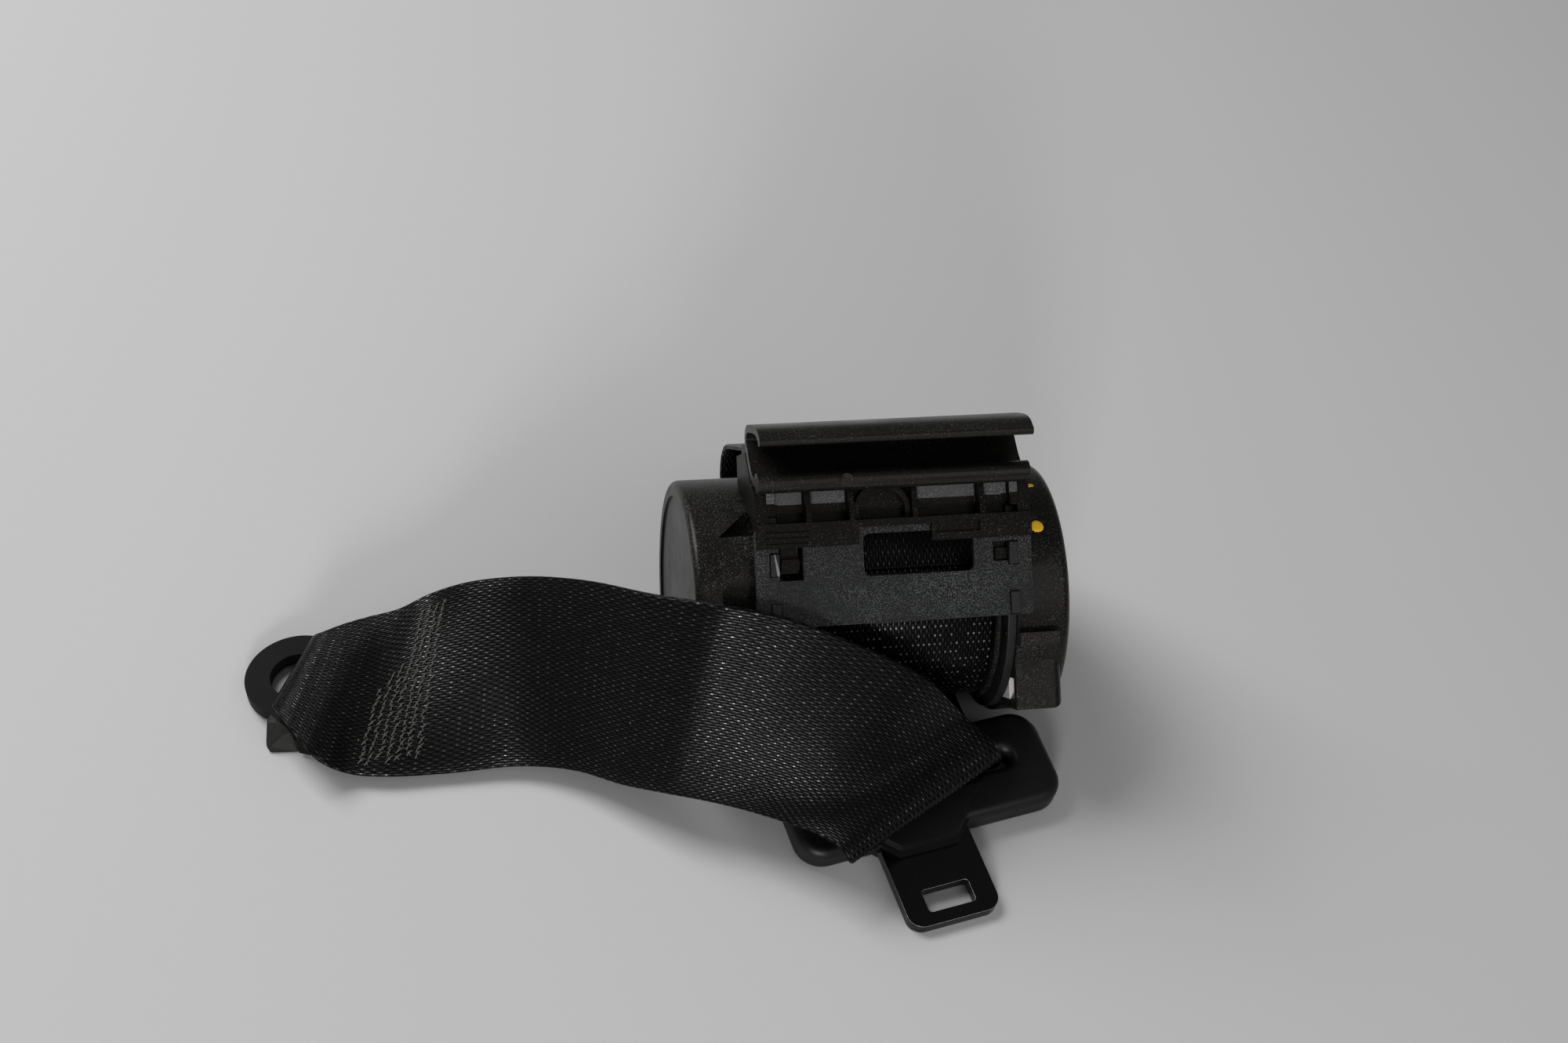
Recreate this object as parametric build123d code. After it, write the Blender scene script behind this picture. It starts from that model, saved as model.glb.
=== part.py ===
"""A car seat belt: emergency locking retractor, webbing, tongue and end anchor.

The retractor is drawn upright, with X along the spool axis, -Y towards the
tie plate and +Z the way the webbing leaves, and is then laid back on its
round caps. The row frame has +X along the spool axis, +Y away from the
tongue's blade and +Z up.
"""

import math
import os

from build123d import *

os.makedirs("parts", exist_ok=True)

# Webbing
webbing_width = 47.0
webbing_thickness = 1.2
fold_width = 24.4
fold_thickness = 2.0

# Retractor frame, inside the caps and round the spool
cap_radius = 28.5
spool_disc_thickness = 1.4
side_clearance = 0.6
webbing_side_room = 0.5
frame_gap = webbing_width + 2 * (spool_disc_thickness + side_clearance + webbing_side_room)
flange_thickness = 2.0
flange_radius = cap_radius - 1.0
web_thickness = 2.0
frame_depth = flange_radius + 0.5
flange_front_top = 20.0
frame_back_bottom = 1.0
frame_back_top = 15.0
lug_width = 26.0
lug_hole_height = 20.5
bolt_hole_radius = 5.75
hook_height = 36.0
hook_depth = 7.0

# Locking teeth of the right flange
tooth_count = 32
tooth_tip_radius = 17.6
tooth_root_radius = 19.4

# Tie plate
tie_thickness = 1.5
tie_overhang = 3.25
tie_width = frame_gap + 2 * (flange_thickness + tie_overhang)
tie_bottom = -4.4
tie_top = 17.4
tie_lip = 3.0
window_left = -7.0
window_right = 18.0
window_bottom = 6.0
window_top = 15.4
tab_height = 5.0
upper_tab = 9.5
lower_tab = -1.6
tab_reach = 2.2
slot_clearance = 0.15

# Spool and shaft
spool_hub_radius = 8.0
spool_disc_radius = flange_radius - 2.3
roll_radius = spool_disc_radius - 1.0
torsion_radius = 3.5
head_radius = 15.8
head_thickness = 4.6
journal_radius = 4.6
bush_wall = 1.6
running_fit = 0.05
seat_gap = 0.3

# Caps
cap_wall = 1.8
spring_cap_length = 16.5
sensor_cap_length = 12.5
sensor_box_length = 11.0
sensor_box_round = 2.4
sensor_box_inset = (4.5, 2.1)
cap_dome = 2.2
cap_edge = 1.6
scoop_wall = 1.4
scoops = ((21.2, 16.0, 16.0, 10.2, 2.3), (11.2, 4.2, -1.0, 10.6, 3.0))
pin_circle = flange_radius - 2.5
pin_radius = 1.5
pin_angles = (100, 200, 340)
boss_wall = 0.7

# Spring side
spring_strip = 0.5
spring_width = 8.0
spring_turns = 7
arbor_radius = 5.6
case_wall = 1.2
case_radius = cap_radius - 6.0
bush_flange = 1.2

# Locking parts
pawl_length = 9.5
pawl_width = 4.2
pawl_thickness = 2.6
pawl_pin_radius = 1.5
pawl_circle = 10.8
gear_tip_radius = 13.5
gear_root_radius = 12.2
gear_teeth = 24
gear_thickness = 1.8

# Vehicle sensor in the squared corner of the sensor cover
ball_radius = 3.4
ball_place = (-12.0, -cap_radius + 11.1)
ball_side_gap = 0.4
cup_wall = 0.4
lever_thickness = 1.0
lever_length = 9.0
lever_width = 2.6
lever_pin_radius = 0.8
lever_pin_depth = -17.2

# Webbing guide
guide_overhang = 3.0
guide_width = frame_gap + 2 * (flange_thickness + guide_overhang)
guide_wall = 1.6
ledge_front = frame_depth + tie_thickness + 1.9
ledge_bottom = 13.2
ledge_top = 18.2
pocket_top = 25.6
guide_back = frame_depth - 0.6
rib_places = (-19.2, -9.5, 4.7, 20.0)
rib_thickness = 1.2
opening_left = -8.3
opening_right = 8.2
rear_wall_depth = 13.5
rear_wall_top = 30.0
rear_wall_radius = 3.0
rear_wall_bottom = 24.4
bar_radius = 2.3
channel_wall = 1.7
label_thickness = 0.3
label_bottom = 22.5
hood_short = 1.0
# The hood's middle line from its lip: reach before the guide's back, and height
hood_line = ((11.2, 36.6), (9.4, 38.2), (5.0, 39.3), (-0.2, 39.6), (-3.8, 39.0), (-5.1, 37.2),
             (-4.0, 34.6), (-1.6, 31.0), (2.0, 28.0))

# How the belt lies on the table
plate_tilt = 47.0
loop_radius = 10.0
loop_back = 51.3

# Tongue
tongue_place = (4.1, -cap_radius - 4.7)
tongue_yaw = 11.5
blade_half_width = 11.0
blade_tip = 40.3
blade_thickness = 2.8
blade_window = (11.4, 5.6)
blade_corner = 3.6
blade_middle = -1.6
window_to_tip = 3.0
slot_side_room = 2.1
tongue_slot_half = webbing_width / 2 + slot_side_room
cover_half_length = tongue_slot_half + 7.0
cover_middle = 2.2
cover_back = 5.4
cover_front = 18.8
cover_height = 7.2
cover_round = 2.1
end_corner = 6.5
tail_front = 22.8
tail_half_width = 7.2
hump_height = 1.1
hump_taper = 14
tail_step = 0.7
tongue_slot_width = 3.9
end_bar_radius = 3.9

# Anchor plate
anchor_place = (-130.3, -cap_radius + 33.7)
anchor_yaw = -26.2
anchor_eye_radius = 12.2
anchor_hole_radius = 6.4
anchor_thickness = 3.0
anchor_bar = 5.6
anchor_slot = 3.6
anchor_web = 3.0
anchor_half_width = 17.6
anchor_flank = 2.0
anchor_slot_half = 13.4

spool_height = cap_radius
flange_inner = frame_gap / 2
flange_outer = flange_inner + flange_thickness
bar_axis_height = end_bar_radius + 1.0 + webbing_thickness


def lay_back(shape):
    """The retractor's pieces, drawn upright, laid back on the round caps."""
    return Pos(0, 0, spool_height) * Rot(X=-plate_tilt) * shape


def laid_point(y, z):
    """Where a point of the upright retractor comes to lie, as row y and z."""
    angle = math.radians(plate_tilt)
    back = y * math.cos(angle) + z * math.sin(angle)
    height = -y * math.sin(angle) + z * math.cos(angle) + spool_height
    return back, height


def slab(outline, start, end):
    """An outline drawn in y and z, pushed along the spool axis."""
    return Pos(start, 0, 0) * extrude(Plane.YZ * outline, end - start, dir=(1, 0, 0))


def rod(radius, start, end, y=0.0, z=0.0):
    """A round bar along the spool axis."""
    return slab(Pos(y, z) * Circle(radius), start, end)


def rectangle(y_low, y_high, z_low, z_high):
    """An outline between four limits."""
    middle = Pos((y_low + y_high) / 2, (z_low + z_high) / 2)
    return middle * Rectangle(y_high - y_low, z_high - z_low)


def block(x, y, z):
    """A box between the limits of three pairs."""
    size = [pair[1] - pair[0] for pair in (x, y, z)]
    return Pos(*[(pair[0] + pair[1]) / 2 for pair in (x, y, z)]) * Box(*size)


def saw_teeth(count, tip, root, inward):
    """A ring of saw teeth as one closed outline."""
    step = 360 / count
    points = []
    for tooth in range(count):
        angle = tooth * step
        first, second = (tip, root) if inward else (root, tip)
        points.append(polar(first, angle))
        points.append(polar(second, angle + step * (0.12 if inward else 0.88)))
    return make_face(Polyline(*points, close=True))


def side_slab(outline, side, near, far):
    """The same outline on the left (-1) or the right (1), between two distances from the middle."""
    return slab(outline, min(side * near, side * far), max(side * near, side * far))


def polar(radius, angle):
    """A point at a radius and an angle in degrees."""
    turn = math.radians(angle)
    return radius * math.cos(turn), radius * math.sin(turn)


def flange_outline():
    """The side flange: round below, square in front and behind."""
    outline = Circle(flange_radius)
    outline += rectangle(-frame_depth, -9, 0, flange_front_top)
    outline += rectangle(8, frame_depth, 0, frame_back_top)
    outline -= rectangle(-frame_depth - 5, -frame_depth, -30, 0)
    for height in (upper_tab, lower_tab):
        reach = frame_depth + tab_reach
        outline += rectangle(-reach, -frame_depth, height - tab_height / 2, height + tab_height / 2)
    return outline


def pin_places():
    """Where the caps' pins go through the flanges."""
    return [polar(pin_circle, angle) for angle in pin_angles]


def make_frame():
    """Pressed frame: two flanges, the back web with its bolt lug, and the hook."""
    outline = flange_outline()
    left = slab(outline - Circle(journal_radius + running_fit + bush_wall), -flange_outer, -flange_inner)
    ring = saw_teeth(tooth_count, tooth_tip_radius, tooth_root_radius, inward=True)
    right = slab(outline - ring, flange_inner, flange_outer)
    hook = rectangle(-hook_depth, 0, 20, hook_height) + rectangle(-hook_depth, 4, 20, 31)
    left += slab(hook - Pos(0.8, 26.4) * Circle(1.6), -flange_outer, -flange_inner)
    for y, z in pin_places():
        left -= rod(pin_radius + running_fit, -40, 0, y, z)
        right -= rod(pin_radius + running_fit, 0, 40, y, z)
    back = block((-flange_outer, flange_outer), (frame_depth - web_thickness, frame_depth),
                 (frame_back_bottom, frame_back_top))
    lug = rectangle(-lug_width / 2, lug_width / 2, frame_back_top - 1, lug_hole_height)
    lug += Pos(0, lug_hole_height) * Circle(lug_width / 2)
    lug -= Pos(0, lug_hole_height) * Circle(bolt_hole_radius)
    lug = Pos(0, frame_depth, 0) * extrude(Plane.XZ * lug, web_thickness)
    return lay_back(left + right + back + lug)


def make_tie_plate():
    """Plate across the front, hooked over the flange tabs, with the window."""
    face = -frame_depth - tie_thickness
    plate = block((-tie_width / 2, tie_width / 2), (face, -frame_depth), (tie_bottom, tie_top))
    lip = block((-flange_inner + 1, flange_inner - 1), (face, face + tie_lip),
                (tie_bottom, tie_bottom + tie_thickness))
    plate = fillet(plate.edges().filter_by(Axis.Y), 1.2) + lip
    window = Pos((window_left + window_right) / 2, -frame_depth, (window_bottom + window_top) / 2)
    window *= Box(window_right - window_left, 9, window_top - window_bottom)
    plate -= fillet(window.edges().filter_by(Axis.Y), 1.5)
    for side in (-1, 1):
        middle = side * (flange_inner + flange_thickness / 2)
        for height in (upper_tab, lower_tab):
            opening = Box(flange_thickness + 2 * slot_clearance, 9, tab_height + 2 * slot_clearance)
            plate -= Pos(middle, -frame_depth, height) * opening
    plate -= block((-flange_inner, -20.6), (-40, -20), (5.9, 13.4))
    plate -= block((22.4, flange_inner), (-40, -20), (7.8, 12.2))
    return lay_back(plate)


def make_spool():
    """Moulded spool: hub, two discs and the left journal."""
    half = flange_inner - side_clearance
    spool = rod(spool_hub_radius, -half, half)
    for side in (-1, 1):
        inner = side * (half - spool_disc_thickness)
        disc = rod(spool_disc_radius, min(inner, side * half), max(inner, side * half))
        spool += chamfer(disc.edges(), 0.4)
    spool += rod(journal_radius, -flange_outer - bush_flange, -half)
    return lay_back(spool - rod(torsion_radius + running_fit, -40, 40))


def make_webbing_roll():
    """The webbing wound on the spool."""
    half = webbing_width / 2
    roll = rod(roll_radius, -half, half) - rod(spool_hub_radius + running_fit, -half, half)
    return lay_back(roll)


def make_torsion_bar():
    """Shaft through the spool, with its two splined ends."""
    left = -flange_outer - spring_cap_length + cap_wall + 2.0
    right = flange_outer + sensor_cap_length - 2.8
    bar = rod(torsion_radius, left, right)
    return lay_back(chamfer(bar.edges().filter_by(GeomType.CIRCLE), 0.5))


def make_lock_head():
    """Disc on the shaft inside the toothed ring, with the pawl's pocket."""
    start = flange_inner - side_clearance + seat_gap
    head = rod(head_radius, start, start + head_thickness)
    head -= rod(torsion_radius + running_fit, 0, 60)
    pocket = rectangle(-2.8, head_radius + 2, pawl_circle - 3.6, head_radius + 2)
    head -= slab(pocket, start + head_thickness - pawl_thickness - 0.6, start + head_thickness + 1)
    pin_start = start + head_thickness - pawl_thickness - 0.7
    head += rod(pawl_pin_radius, pin_start, start + head_thickness, 0, pawl_circle)
    return lay_back(head)


def make_pawl():
    """Locking pawl with its pin hole and two teeth."""
    start = flange_inner - side_clearance + seat_gap + head_thickness - pawl_thickness - seat_gap
    body = Circle(2.7)
    body += Polygon((0, -2.3), (pawl_length - 1, -1.4), (pawl_length, 1.0), (pawl_length - 2.0, 0.9),
                    (pawl_length - 2.6, 2.3), (pawl_length - 4.4, 1.9), (0, 2.6), align=None)
    body -= Circle(pawl_pin_radius + running_fit)
    return lay_back(slab(Pos(0, pawl_circle) * body, start, start + pawl_thickness))


def make_lock_gear():
    """Toothed wheel that starts the pawl."""
    start = flange_inner - side_clearance + 2 * seat_gap + head_thickness + 0.1
    ring = saw_teeth(gear_teeth, gear_tip_radius, gear_root_radius, inward=False)
    gear = slab(ring, start, start + gear_thickness)
    gear -= rod(torsion_radius + running_fit, 0, 60)
    for angle in (30, 150, 270):
        y, z = polar(8.2, angle)
        gear -= rod(2.0, 0, 60, y, z)
    return lay_back(gear)


def cap_fasteners(wall_side, flange_side, through):
    """Bosses inside a cap and the pins on them that go through the flange."""
    bosses = []
    for y, z in pin_places():
        bosses.append(rod(pin_radius + boss_wall, *sorted((wall_side, flange_side)), y, z))
        bosses.append(rod(pin_radius, *sorted((flange_side, through)), y, z))
    return bosses


def tie_notch():
    """Room in the caps' rims for the ends of the tie plate."""
    reach = tie_width / 2 + slot_clearance
    return block((-reach, reach), (-40, -frame_depth), (tie_bottom - slot_clearance, 20))


def scoop_forms(top, corner, bottom, reach, depth):
    """Backing and hollow of one scoop, level with the cap at its top and deepest at its bottom."""
    start, end = (math.asin(height / cap_radius) for height in (top, bottom))
    slide = depth / math.sin(start - end)
    centre = slide * math.sin(start), slide * math.cos(start)
    hollow, backing = (
        Polygon((-flange_outer + 1, top + edge), (-flange_outer - 3.2 - edge, top + edge),
                (-flange_outer - reach - edge, corner + edge / 2),
                (-flange_outer - reach - edge, bottom - edge),
                (-flange_outer + 1, bottom - edge), align=None) for edge in (0, scoop_wall))
    hollow, backing = (extrude(Plane.XZ * outline, 40, dir=(0, -1, 0)) for outline in (hollow, backing))
    backing -= rod(cap_radius - scoop_wall, -60, 0, *centre) + block((-flange_outer, 0), (-60, 0), (-60, 60))
    return backing, hollow - rod(cap_radius, -60, 0, *centre)


def make_spring_cover():
    """Left cap: a deep round shell with a flat end, a rim and two scoops."""
    start = -flange_outer - spring_cap_length
    cap = rod(cap_radius, start, -flange_outer)
    cap = fillet(cap.faces().sort_by(Axis.X)[0].edges(), cap_edge)
    round_cap = cap
    cap -= rod(cap_radius - 3.4, start - 1, start + 0.5)
    cap -= rod(cap_radius - cap_wall, start + cap_wall + 0.5, 0)
    for scoop in scoops:
        fill, cut = scoop_forms(*scoop)
        cap = cap + (fill & round_cap) - cut
    for boss in cap_fasteners(start + cap_wall, -flange_outer, -flange_inner):
        cap += boss
    return lay_back(cap - tie_notch())


def make_spring_case():
    """Cup that holds the return spring, with the wall its outer end hooks to."""
    right = -flange_outer - bush_flange
    left = right - spring_width - 2 * case_wall - 0.2
    case = rod(case_radius, left, right) - rod(case_radius - case_wall, left - 1, right - case_wall)
    case -= rod(arbor_radius + seat_gap, -60, 0)
    return lay_back(case)


def make_spring_arbor():
    """Sleeve on the shaft that winds the return spring."""
    right = -flange_outer - bush_flange
    left = right - spring_width - case_wall - 0.2
    arbor = rod(arbor_radius, left, right)
    return lay_back(arbor - rod(torsion_radius + running_fit, -60, 0))


def spiral_side(offset):
    """Half turns of growing radius, which make one side of the spring strip."""
    arcs = []
    room = case_radius - case_wall - arbor_radius - spring_strip - 2 * running_fit
    radius = arbor_radius + running_fit + offset
    shift = room / spring_turns / 2
    centre = 0.0
    for half_turn in range(2 * spring_turns):
        start = 180 if half_turn % 2 else 0
        arcs.append(CenterArc((centre, 0), radius, start, 180))
        centre += -shift if half_turn % 2 else shift
        radius += shift
    return arcs


def make_return_spring():
    """Flat spiral spring between arbor and case."""
    inner = spiral_side(0.0)
    outer = spiral_side(spring_strip)
    ends = [Line(side_a @ at, side_b @ at) for side_a, side_b, at in
            ((inner[0], outer[0], 0), (inner[-1], outer[-1], 1))]
    strip = make_face(Curve() + inner + outer + ends)
    right = -flange_outer - bush_flange - case_wall - 0.1
    return lay_back(slab(strip, right - spring_width, right))


def make_left_bush():
    """Flanged bush in the left flange."""
    outer = journal_radius + running_fit + bush_wall
    bush = rod(outer, -flange_outer, -flange_inner)
    bush += rod(outer + 2, -flange_outer - bush_flange, -flange_outer)
    return lay_back(bush - rod(journal_radius + running_fit, -60, 0))


def sensor_box(grow=0.0):
    """The squared corner that holds the vehicle sensor."""
    front, bottom = sensor_box_inset
    return rectangle(-cap_radius + front + grow, -4 - grow, -cap_radius + bottom + grow, -6)


def make_sensor_cover():
    """Right cap: a domed shell with the squared sensor corner, a rib and a boss."""
    end = flange_outer + sensor_cap_length
    cap = rod(cap_radius, flange_outer, end)
    cap = fillet(cap.faces().sort_by(Axis.X)[-1].edges(), cap_dome)
    corner = slab(sensor_box(), flange_outer, flange_outer + sensor_box_length)
    corner = fillet(corner.faces().sort_by(Axis.X)[-1].edges(), sensor_box_round)
    cap += corner
    cap -= rod(cap_radius - cap_wall, 0, end - cap_wall - cap_dome)
    cap -= rod(cap_radius - cap_wall - cap_dome, 0, end - cap_wall)
    cap -= slab(sensor_box(cap_wall), 0, flange_outer + sensor_box_length - cap_wall)
    hole = torsion_radius + running_fit + bush_wall
    cap += rod(hole + 1.4, end - 6, end - cap_wall / 2)
    cap -= rod(hole, 0, end - cap_wall)
    cap += slab(rectangle(-cap_radius - 1.1, -cap_radius + 3.9, -11.6, -8.6), flange_outer, flange_outer + 9)
    cap += slab(rectangle(-cap_radius + 4.3, -cap_radius + 9.5, -19.4, -14.4),
                flange_outer, flange_outer + 5.4)
    for boss in cap_fasteners(end - cap_wall - cap_dome, flange_outer, flange_inner):
        cap += boss
    return lay_back(cap - tie_notch())


def make_right_bush():
    """Bush in the sensor cover that carries the shaft's end."""
    end = flange_outer + sensor_cap_length
    outer = torsion_radius + running_fit + bush_wall
    bush = rod(outer, end - 6, end - cap_wall) - rod(torsion_radius + running_fit, 0, end - 2.8 + running_fit)
    return lay_back(bush)


def ball_centre():
    """Middle of the sensor ball, off the flange."""
    return flange_outer + ball_side_gap + ball_radius


def make_sensor_housing():
    """Cup under the sensor ball, with the ear and pin of the lever."""
    y, z = ball_place
    end = ball_centre() + ball_radius + cup_wall
    base = z - ball_radius - 3.6
    cup = slab(rectangle(-17.4, -6.4, base, z - ball_radius * 0.8), flange_outer, end)
    cup -= Pos(ball_centre(), y, z) * Sphere(ball_radius + running_fit)
    cup += slab(rectangle(-18.1, -16.3, base, z + ball_radius + 3.2), flange_outer, flange_outer + 1.2)
    pin_height = z + ball_radius + lever_thickness
    cup += rod(lever_pin_radius, flange_outer, flange_outer + 5.2, lever_pin_depth, pin_height)
    return lay_back(cup)


def make_sensor_ball():
    """Steel ball of the vehicle sensor."""
    return lay_back(Pos(ball_centre(), *ball_place) * Sphere(ball_radius))


def make_sensor_lever():
    """Lever over the ball, which stops the lock gear."""
    start = ball_centre() - lever_width / 2
    low = ball_place[1] + ball_radius + 0.1
    pin_height = ball_place[1] + ball_radius + lever_thickness
    arm = slab(rectangle(lever_pin_depth, lever_pin_depth + lever_length, low, low + lever_thickness),
               start, start + lever_width)
    arm += rod(1.5, start, start + lever_width, lever_pin_depth + 0.3, pin_height + 0.2)
    arm -= rod(lever_pin_radius + running_fit, 0, 60, lever_pin_depth, pin_height)
    return lay_back(arm)


def guide_rib(place):
    """A rib between the pockets, from the ledge up to the bar."""
    rib = Polygon((-ledge_front, ledge_top), (-guide_back + 0.4, ledge_top), (-guide_back + 0.4, pocket_top),
                  (-ledge_front + 1.2, pocket_top), align=None)
    return slab(rib, place - rib_thickness / 2, place + rib_thickness / 2)


def make_guide_body():
    """Ribbed moulding above the tie plate, with end plates and the rear wall."""
    half = guide_width / 2
    front = -frame_depth - tie_thickness - 0.1
    body = block((-half, half), (-ledge_front, front), (ledge_bottom, ledge_top))
    body += block((-half, half), (-ledge_front, -guide_back + guide_wall), (tie_top + 0.1, ledge_top + 0.4))
    body -= block((opening_left, opening_right), (-40, front + 0.01), (0, tie_top - 0.4))
    body -= block((9.1, 19.2), (-40, -ledge_front + 0.8), (14.9, 17.4))
    for row in range(3):
        low = ledge_bottom + 0.9 + row * 1.25
        body -= block((-half + 2, -half + 11.5), (-40, -ledge_front + 0.4), (low, low + 0.5))
    body += block((-half, half), (-guide_back, -guide_back + guide_wall), (ledge_top, pocket_top + 1.8))
    for place in rib_places:
        body += guide_rib(place)
    cheek = Polygon((-ledge_front, ledge_bottom), (-ledge_front + 1.5, 25.4), (-26.6, 27.0), (-23.4, 31.0),
                    (-21.0, 34.4), (-10.4, 33.5), (-9.4, 20.2), (-25, 20.2), (-25, ledge_bottom), align=None)
    cheek = cheek - rectangle(-frame_depth - tie_thickness - 0.1, 0, 0, tie_top + 0.1)
    for side in (-1, 1):
        body += side_slab(cheek, side, flange_outer + 0.1, half)
        upper_cheek = cheek & rectangle(-40, 0, flange_front_top + 0.2, 40)
        body += side_slab(upper_cheek, side, flange_inner + 0.6, half)
    wall = Pos(-rear_wall_depth, rear_wall_top) * Circle(rear_wall_radius)
    wall += rectangle(-rear_wall_depth - 1.2, -rear_wall_depth + rear_wall_radius,
                      rear_wall_bottom, rear_wall_top)
    body += slab(wall, -half, half)
    arch = Pos(-2.4, 0, 20.2) * Cylinder(6.4, 2.2, rotation=(90, 0, 0))
    arch -= Pos(-2.4, 0, 20.2) * Cylinder(5.2, 3.0, rotation=(90, 0, 0))
    arch &= block((-12, 12), (-5, 5), (ledge_top, 40))
    body += Pos(0, -guide_back - 1.0, 0) * arch
    for side, far, near in ((-1, 25.4, 21.4), (1, 25.6, 23.0)):
        finger = rectangle(-27.8, -26.2, 7.4, ledge_top) + rectangle(-28.9, -27.0, 8.2, 10.6)
        body += side_slab(finger, side, near, far)
        flange_room = Circle(flange_radius + seat_gap)
        flange_room += rectangle(-frame_depth - 0.1, 0, 0, flange_front_top + 0.1)
        body -= side_slab(flange_room, side, flange_inner - seat_gap, flange_outer + 0.1)
        body -= side_slab(Circle(cap_radius + seat_gap), side, flange_outer, 50)
    return lay_back(body)


def make_guide_channel():
    """Hood, concave web and round bar, as one extruded moulding."""
    half = guide_width / 2
    bar_y = -guide_back - 6.0
    bar_z = 27.6
    outer = [(-guide_back - reach, height) for reach, height in hood_line]
    line = Spline(*outer)
    path = Curve() + line + Line(line @ 1, (bar_y, bar_z))
    channel = trace(path, channel_wall)
    channel += Pos(bar_y, bar_z) * Circle(bar_radius)
    channel += Pos(*outer[0]) * Circle(channel_wall * 0.6)
    foot = rectangle(-guide_back, -guide_back + guide_wall, pocket_top + 1.8, 30.4)
    moulding = slab(channel, -half, half - hood_short) + slab(foot, -flange_inner, flange_inner)
    moulding += Pos(-11.5, bar_y - bar_radius + 0.3, bar_z) * Cylinder(1.5, 1.2, rotation=(90, 0, 0))
    return lay_back(moulding)


def make_labels():
    """Blank paper labels on the back wall of the pockets."""
    stops = [-flange_inner - 0.2, *rib_places, flange_inner + 0.2]
    skip = 2
    strips = []
    for index in range(len(stops) - 1):
        if index == skip:
            continue
        left = stops[index] + rib_thickness / 2 + 0.3
        right = stops[index + 1] - rib_thickness / 2 - 0.3
        strips.append(lay_back(block((left, right), (-guide_back - label_thickness, -guide_back),
                                     (label_bottom, pocket_top))))
    return Compound(strips)


def cross_line(left, right, thickness=webbing_thickness):
    """One cross line of the webbing, from its left to its right edge."""
    return Vector(*left), Vector(*right), thickness


def section(lines, index):
    """The webbing's cut at one cross line, square to the way the belt runs there."""
    left, right, thickness = lines[index]
    before = sum(lines[max(index - 1, 0)][:2], Vector()) / 2
    after = sum(lines[min(index + 1, len(lines) - 1)][:2], Vector()) / 2
    up = (right - left).cross(after - before).normalized() * (thickness / 2)
    return Face(Wire.make_polygon([left - up, right - up, right + up, left + up], close=True))


def ribbon(lines, first, last):
    """A closed strip that runs through some of the belt's cross lines."""
    return loft([section(lines, index) for index in range(first, last + 1)], ruled=True)


def belt_wraps():
    """The three rounds that the webbing's upper run lies on: place, radius, from and to."""
    half = webbing_thickness / 2
    spool = (*laid_point(0, 0), roll_radius + seat_gap + half)
    wall = (*laid_point(-rear_wall_depth, rear_wall_top), rear_wall_radius + seat_gap + half)
    loop = (loop_back, loop_radius + half, loop_radius)
    first = tangent_angle(spool, wall)
    second = tangent_angle(wall, loop)
    return [(spool, first, first), (wall, first, second), (loop, second, -90)]


def tangent_angle(one, two):
    """Direction from both centres to the line that touches two circles on their outer side."""
    distance = math.hypot(two[0] - one[0], two[1] - one[1])
    heading = math.degrees(math.atan2(two[1] - one[1], two[0] - one[0]))
    return heading + math.degrees(math.acos((one[2] - two[2]) / distance))


def belt_side(offset, end_y):
    """One side of the upper run's profile, as edges in row y and z."""
    edges = []
    previous = None
    for (y, z, radius), start, end in belt_wraps():
        touch = Vector(y, z) + Vector(*polar(radius + offset, start))
        if previous is not None:
            edges.append(Line(previous, touch))
        if end != start:
            edges.append(CenterArc((y, z), radius + offset, start, end - start))
        previous = Vector(y, z) + Vector(*polar(radius + offset, end))
    edges.append(Line(previous, (end_y, previous.Y)))
    return edges


floor_run_start = 40.0


def make_upper_run():
    """Webbing from the roll over the guide's rear wall and down behind the retractor."""
    half = webbing_thickness / 2
    top = belt_side(half, floor_run_start)
    under = belt_side(-half, floor_run_start)
    ends = [Line(top[0] @ 0, under[0] @ 0), Line(top[-1] @ 1, under[-1] @ 1)]
    outline = make_face(Curve() + top + under + ends)
    return slab(outline, -webbing_width / 2, webbing_width / 2)


def tongue_point(x, y, z=0.0):
    """A point given across and along the tongue, at its height above the table."""
    angle = math.radians(tongue_yaw)
    return (tongue_place[0] + x * math.cos(angle) - y * math.sin(angle),
            tongue_place[1] + x * math.sin(angle) + y * math.cos(angle), z)


def lower_lines():
    """Cross lines from behind, under the retractor and up through the tongue's slot."""
    half = webbing_width / 2
    level = webbing_thickness / 2
    lines = []
    course = (0, 40, 0), (0, 34, 0), (-0.4, 24, -1), (-0.6, 12, 0), (-0.4, 0, 2), (0.2, -11, 6)
    for centre, y, yaw in course:
        across = Vector(*polar(half, yaw))
        middle = Vector(centre, y, level)
        lines.append(cross_line(middle - across, middle + across))
    wrap = bar_axis_height - level
    for y in (14, 6):
        lines.append(cross_line(tongue_point(-half, y, level), tongue_point(half, y, level)))
    for angle in (-90, -115, -135, -155, -180):
        y, z = polar(wrap, angle)
        height = bar_axis_height + z
        lines.append(cross_line(tongue_point(-half, y, height), tongue_point(half, y, height)))
    flap = ((9.0, 9.0, -wrap, -wrap), (11.3, 11.0, -wrap - 0.8, -wrap - 0.6),
            (12.5, 12.2, -wrap - 3.5, -wrap - 1.6), (13.0, 12.8, -wrap - 12.0, -wrap - 2.3),
            (13.2, 13.0, -wrap - 19.2, -wrap - 2.9))
    for left_z, right_z, left_y, right_y in flap:
        lines.append(cross_line(tongue_point(-half, left_y, left_z),
                                tongue_point(half - 2.2, right_y, right_z)))
    return lines


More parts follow.
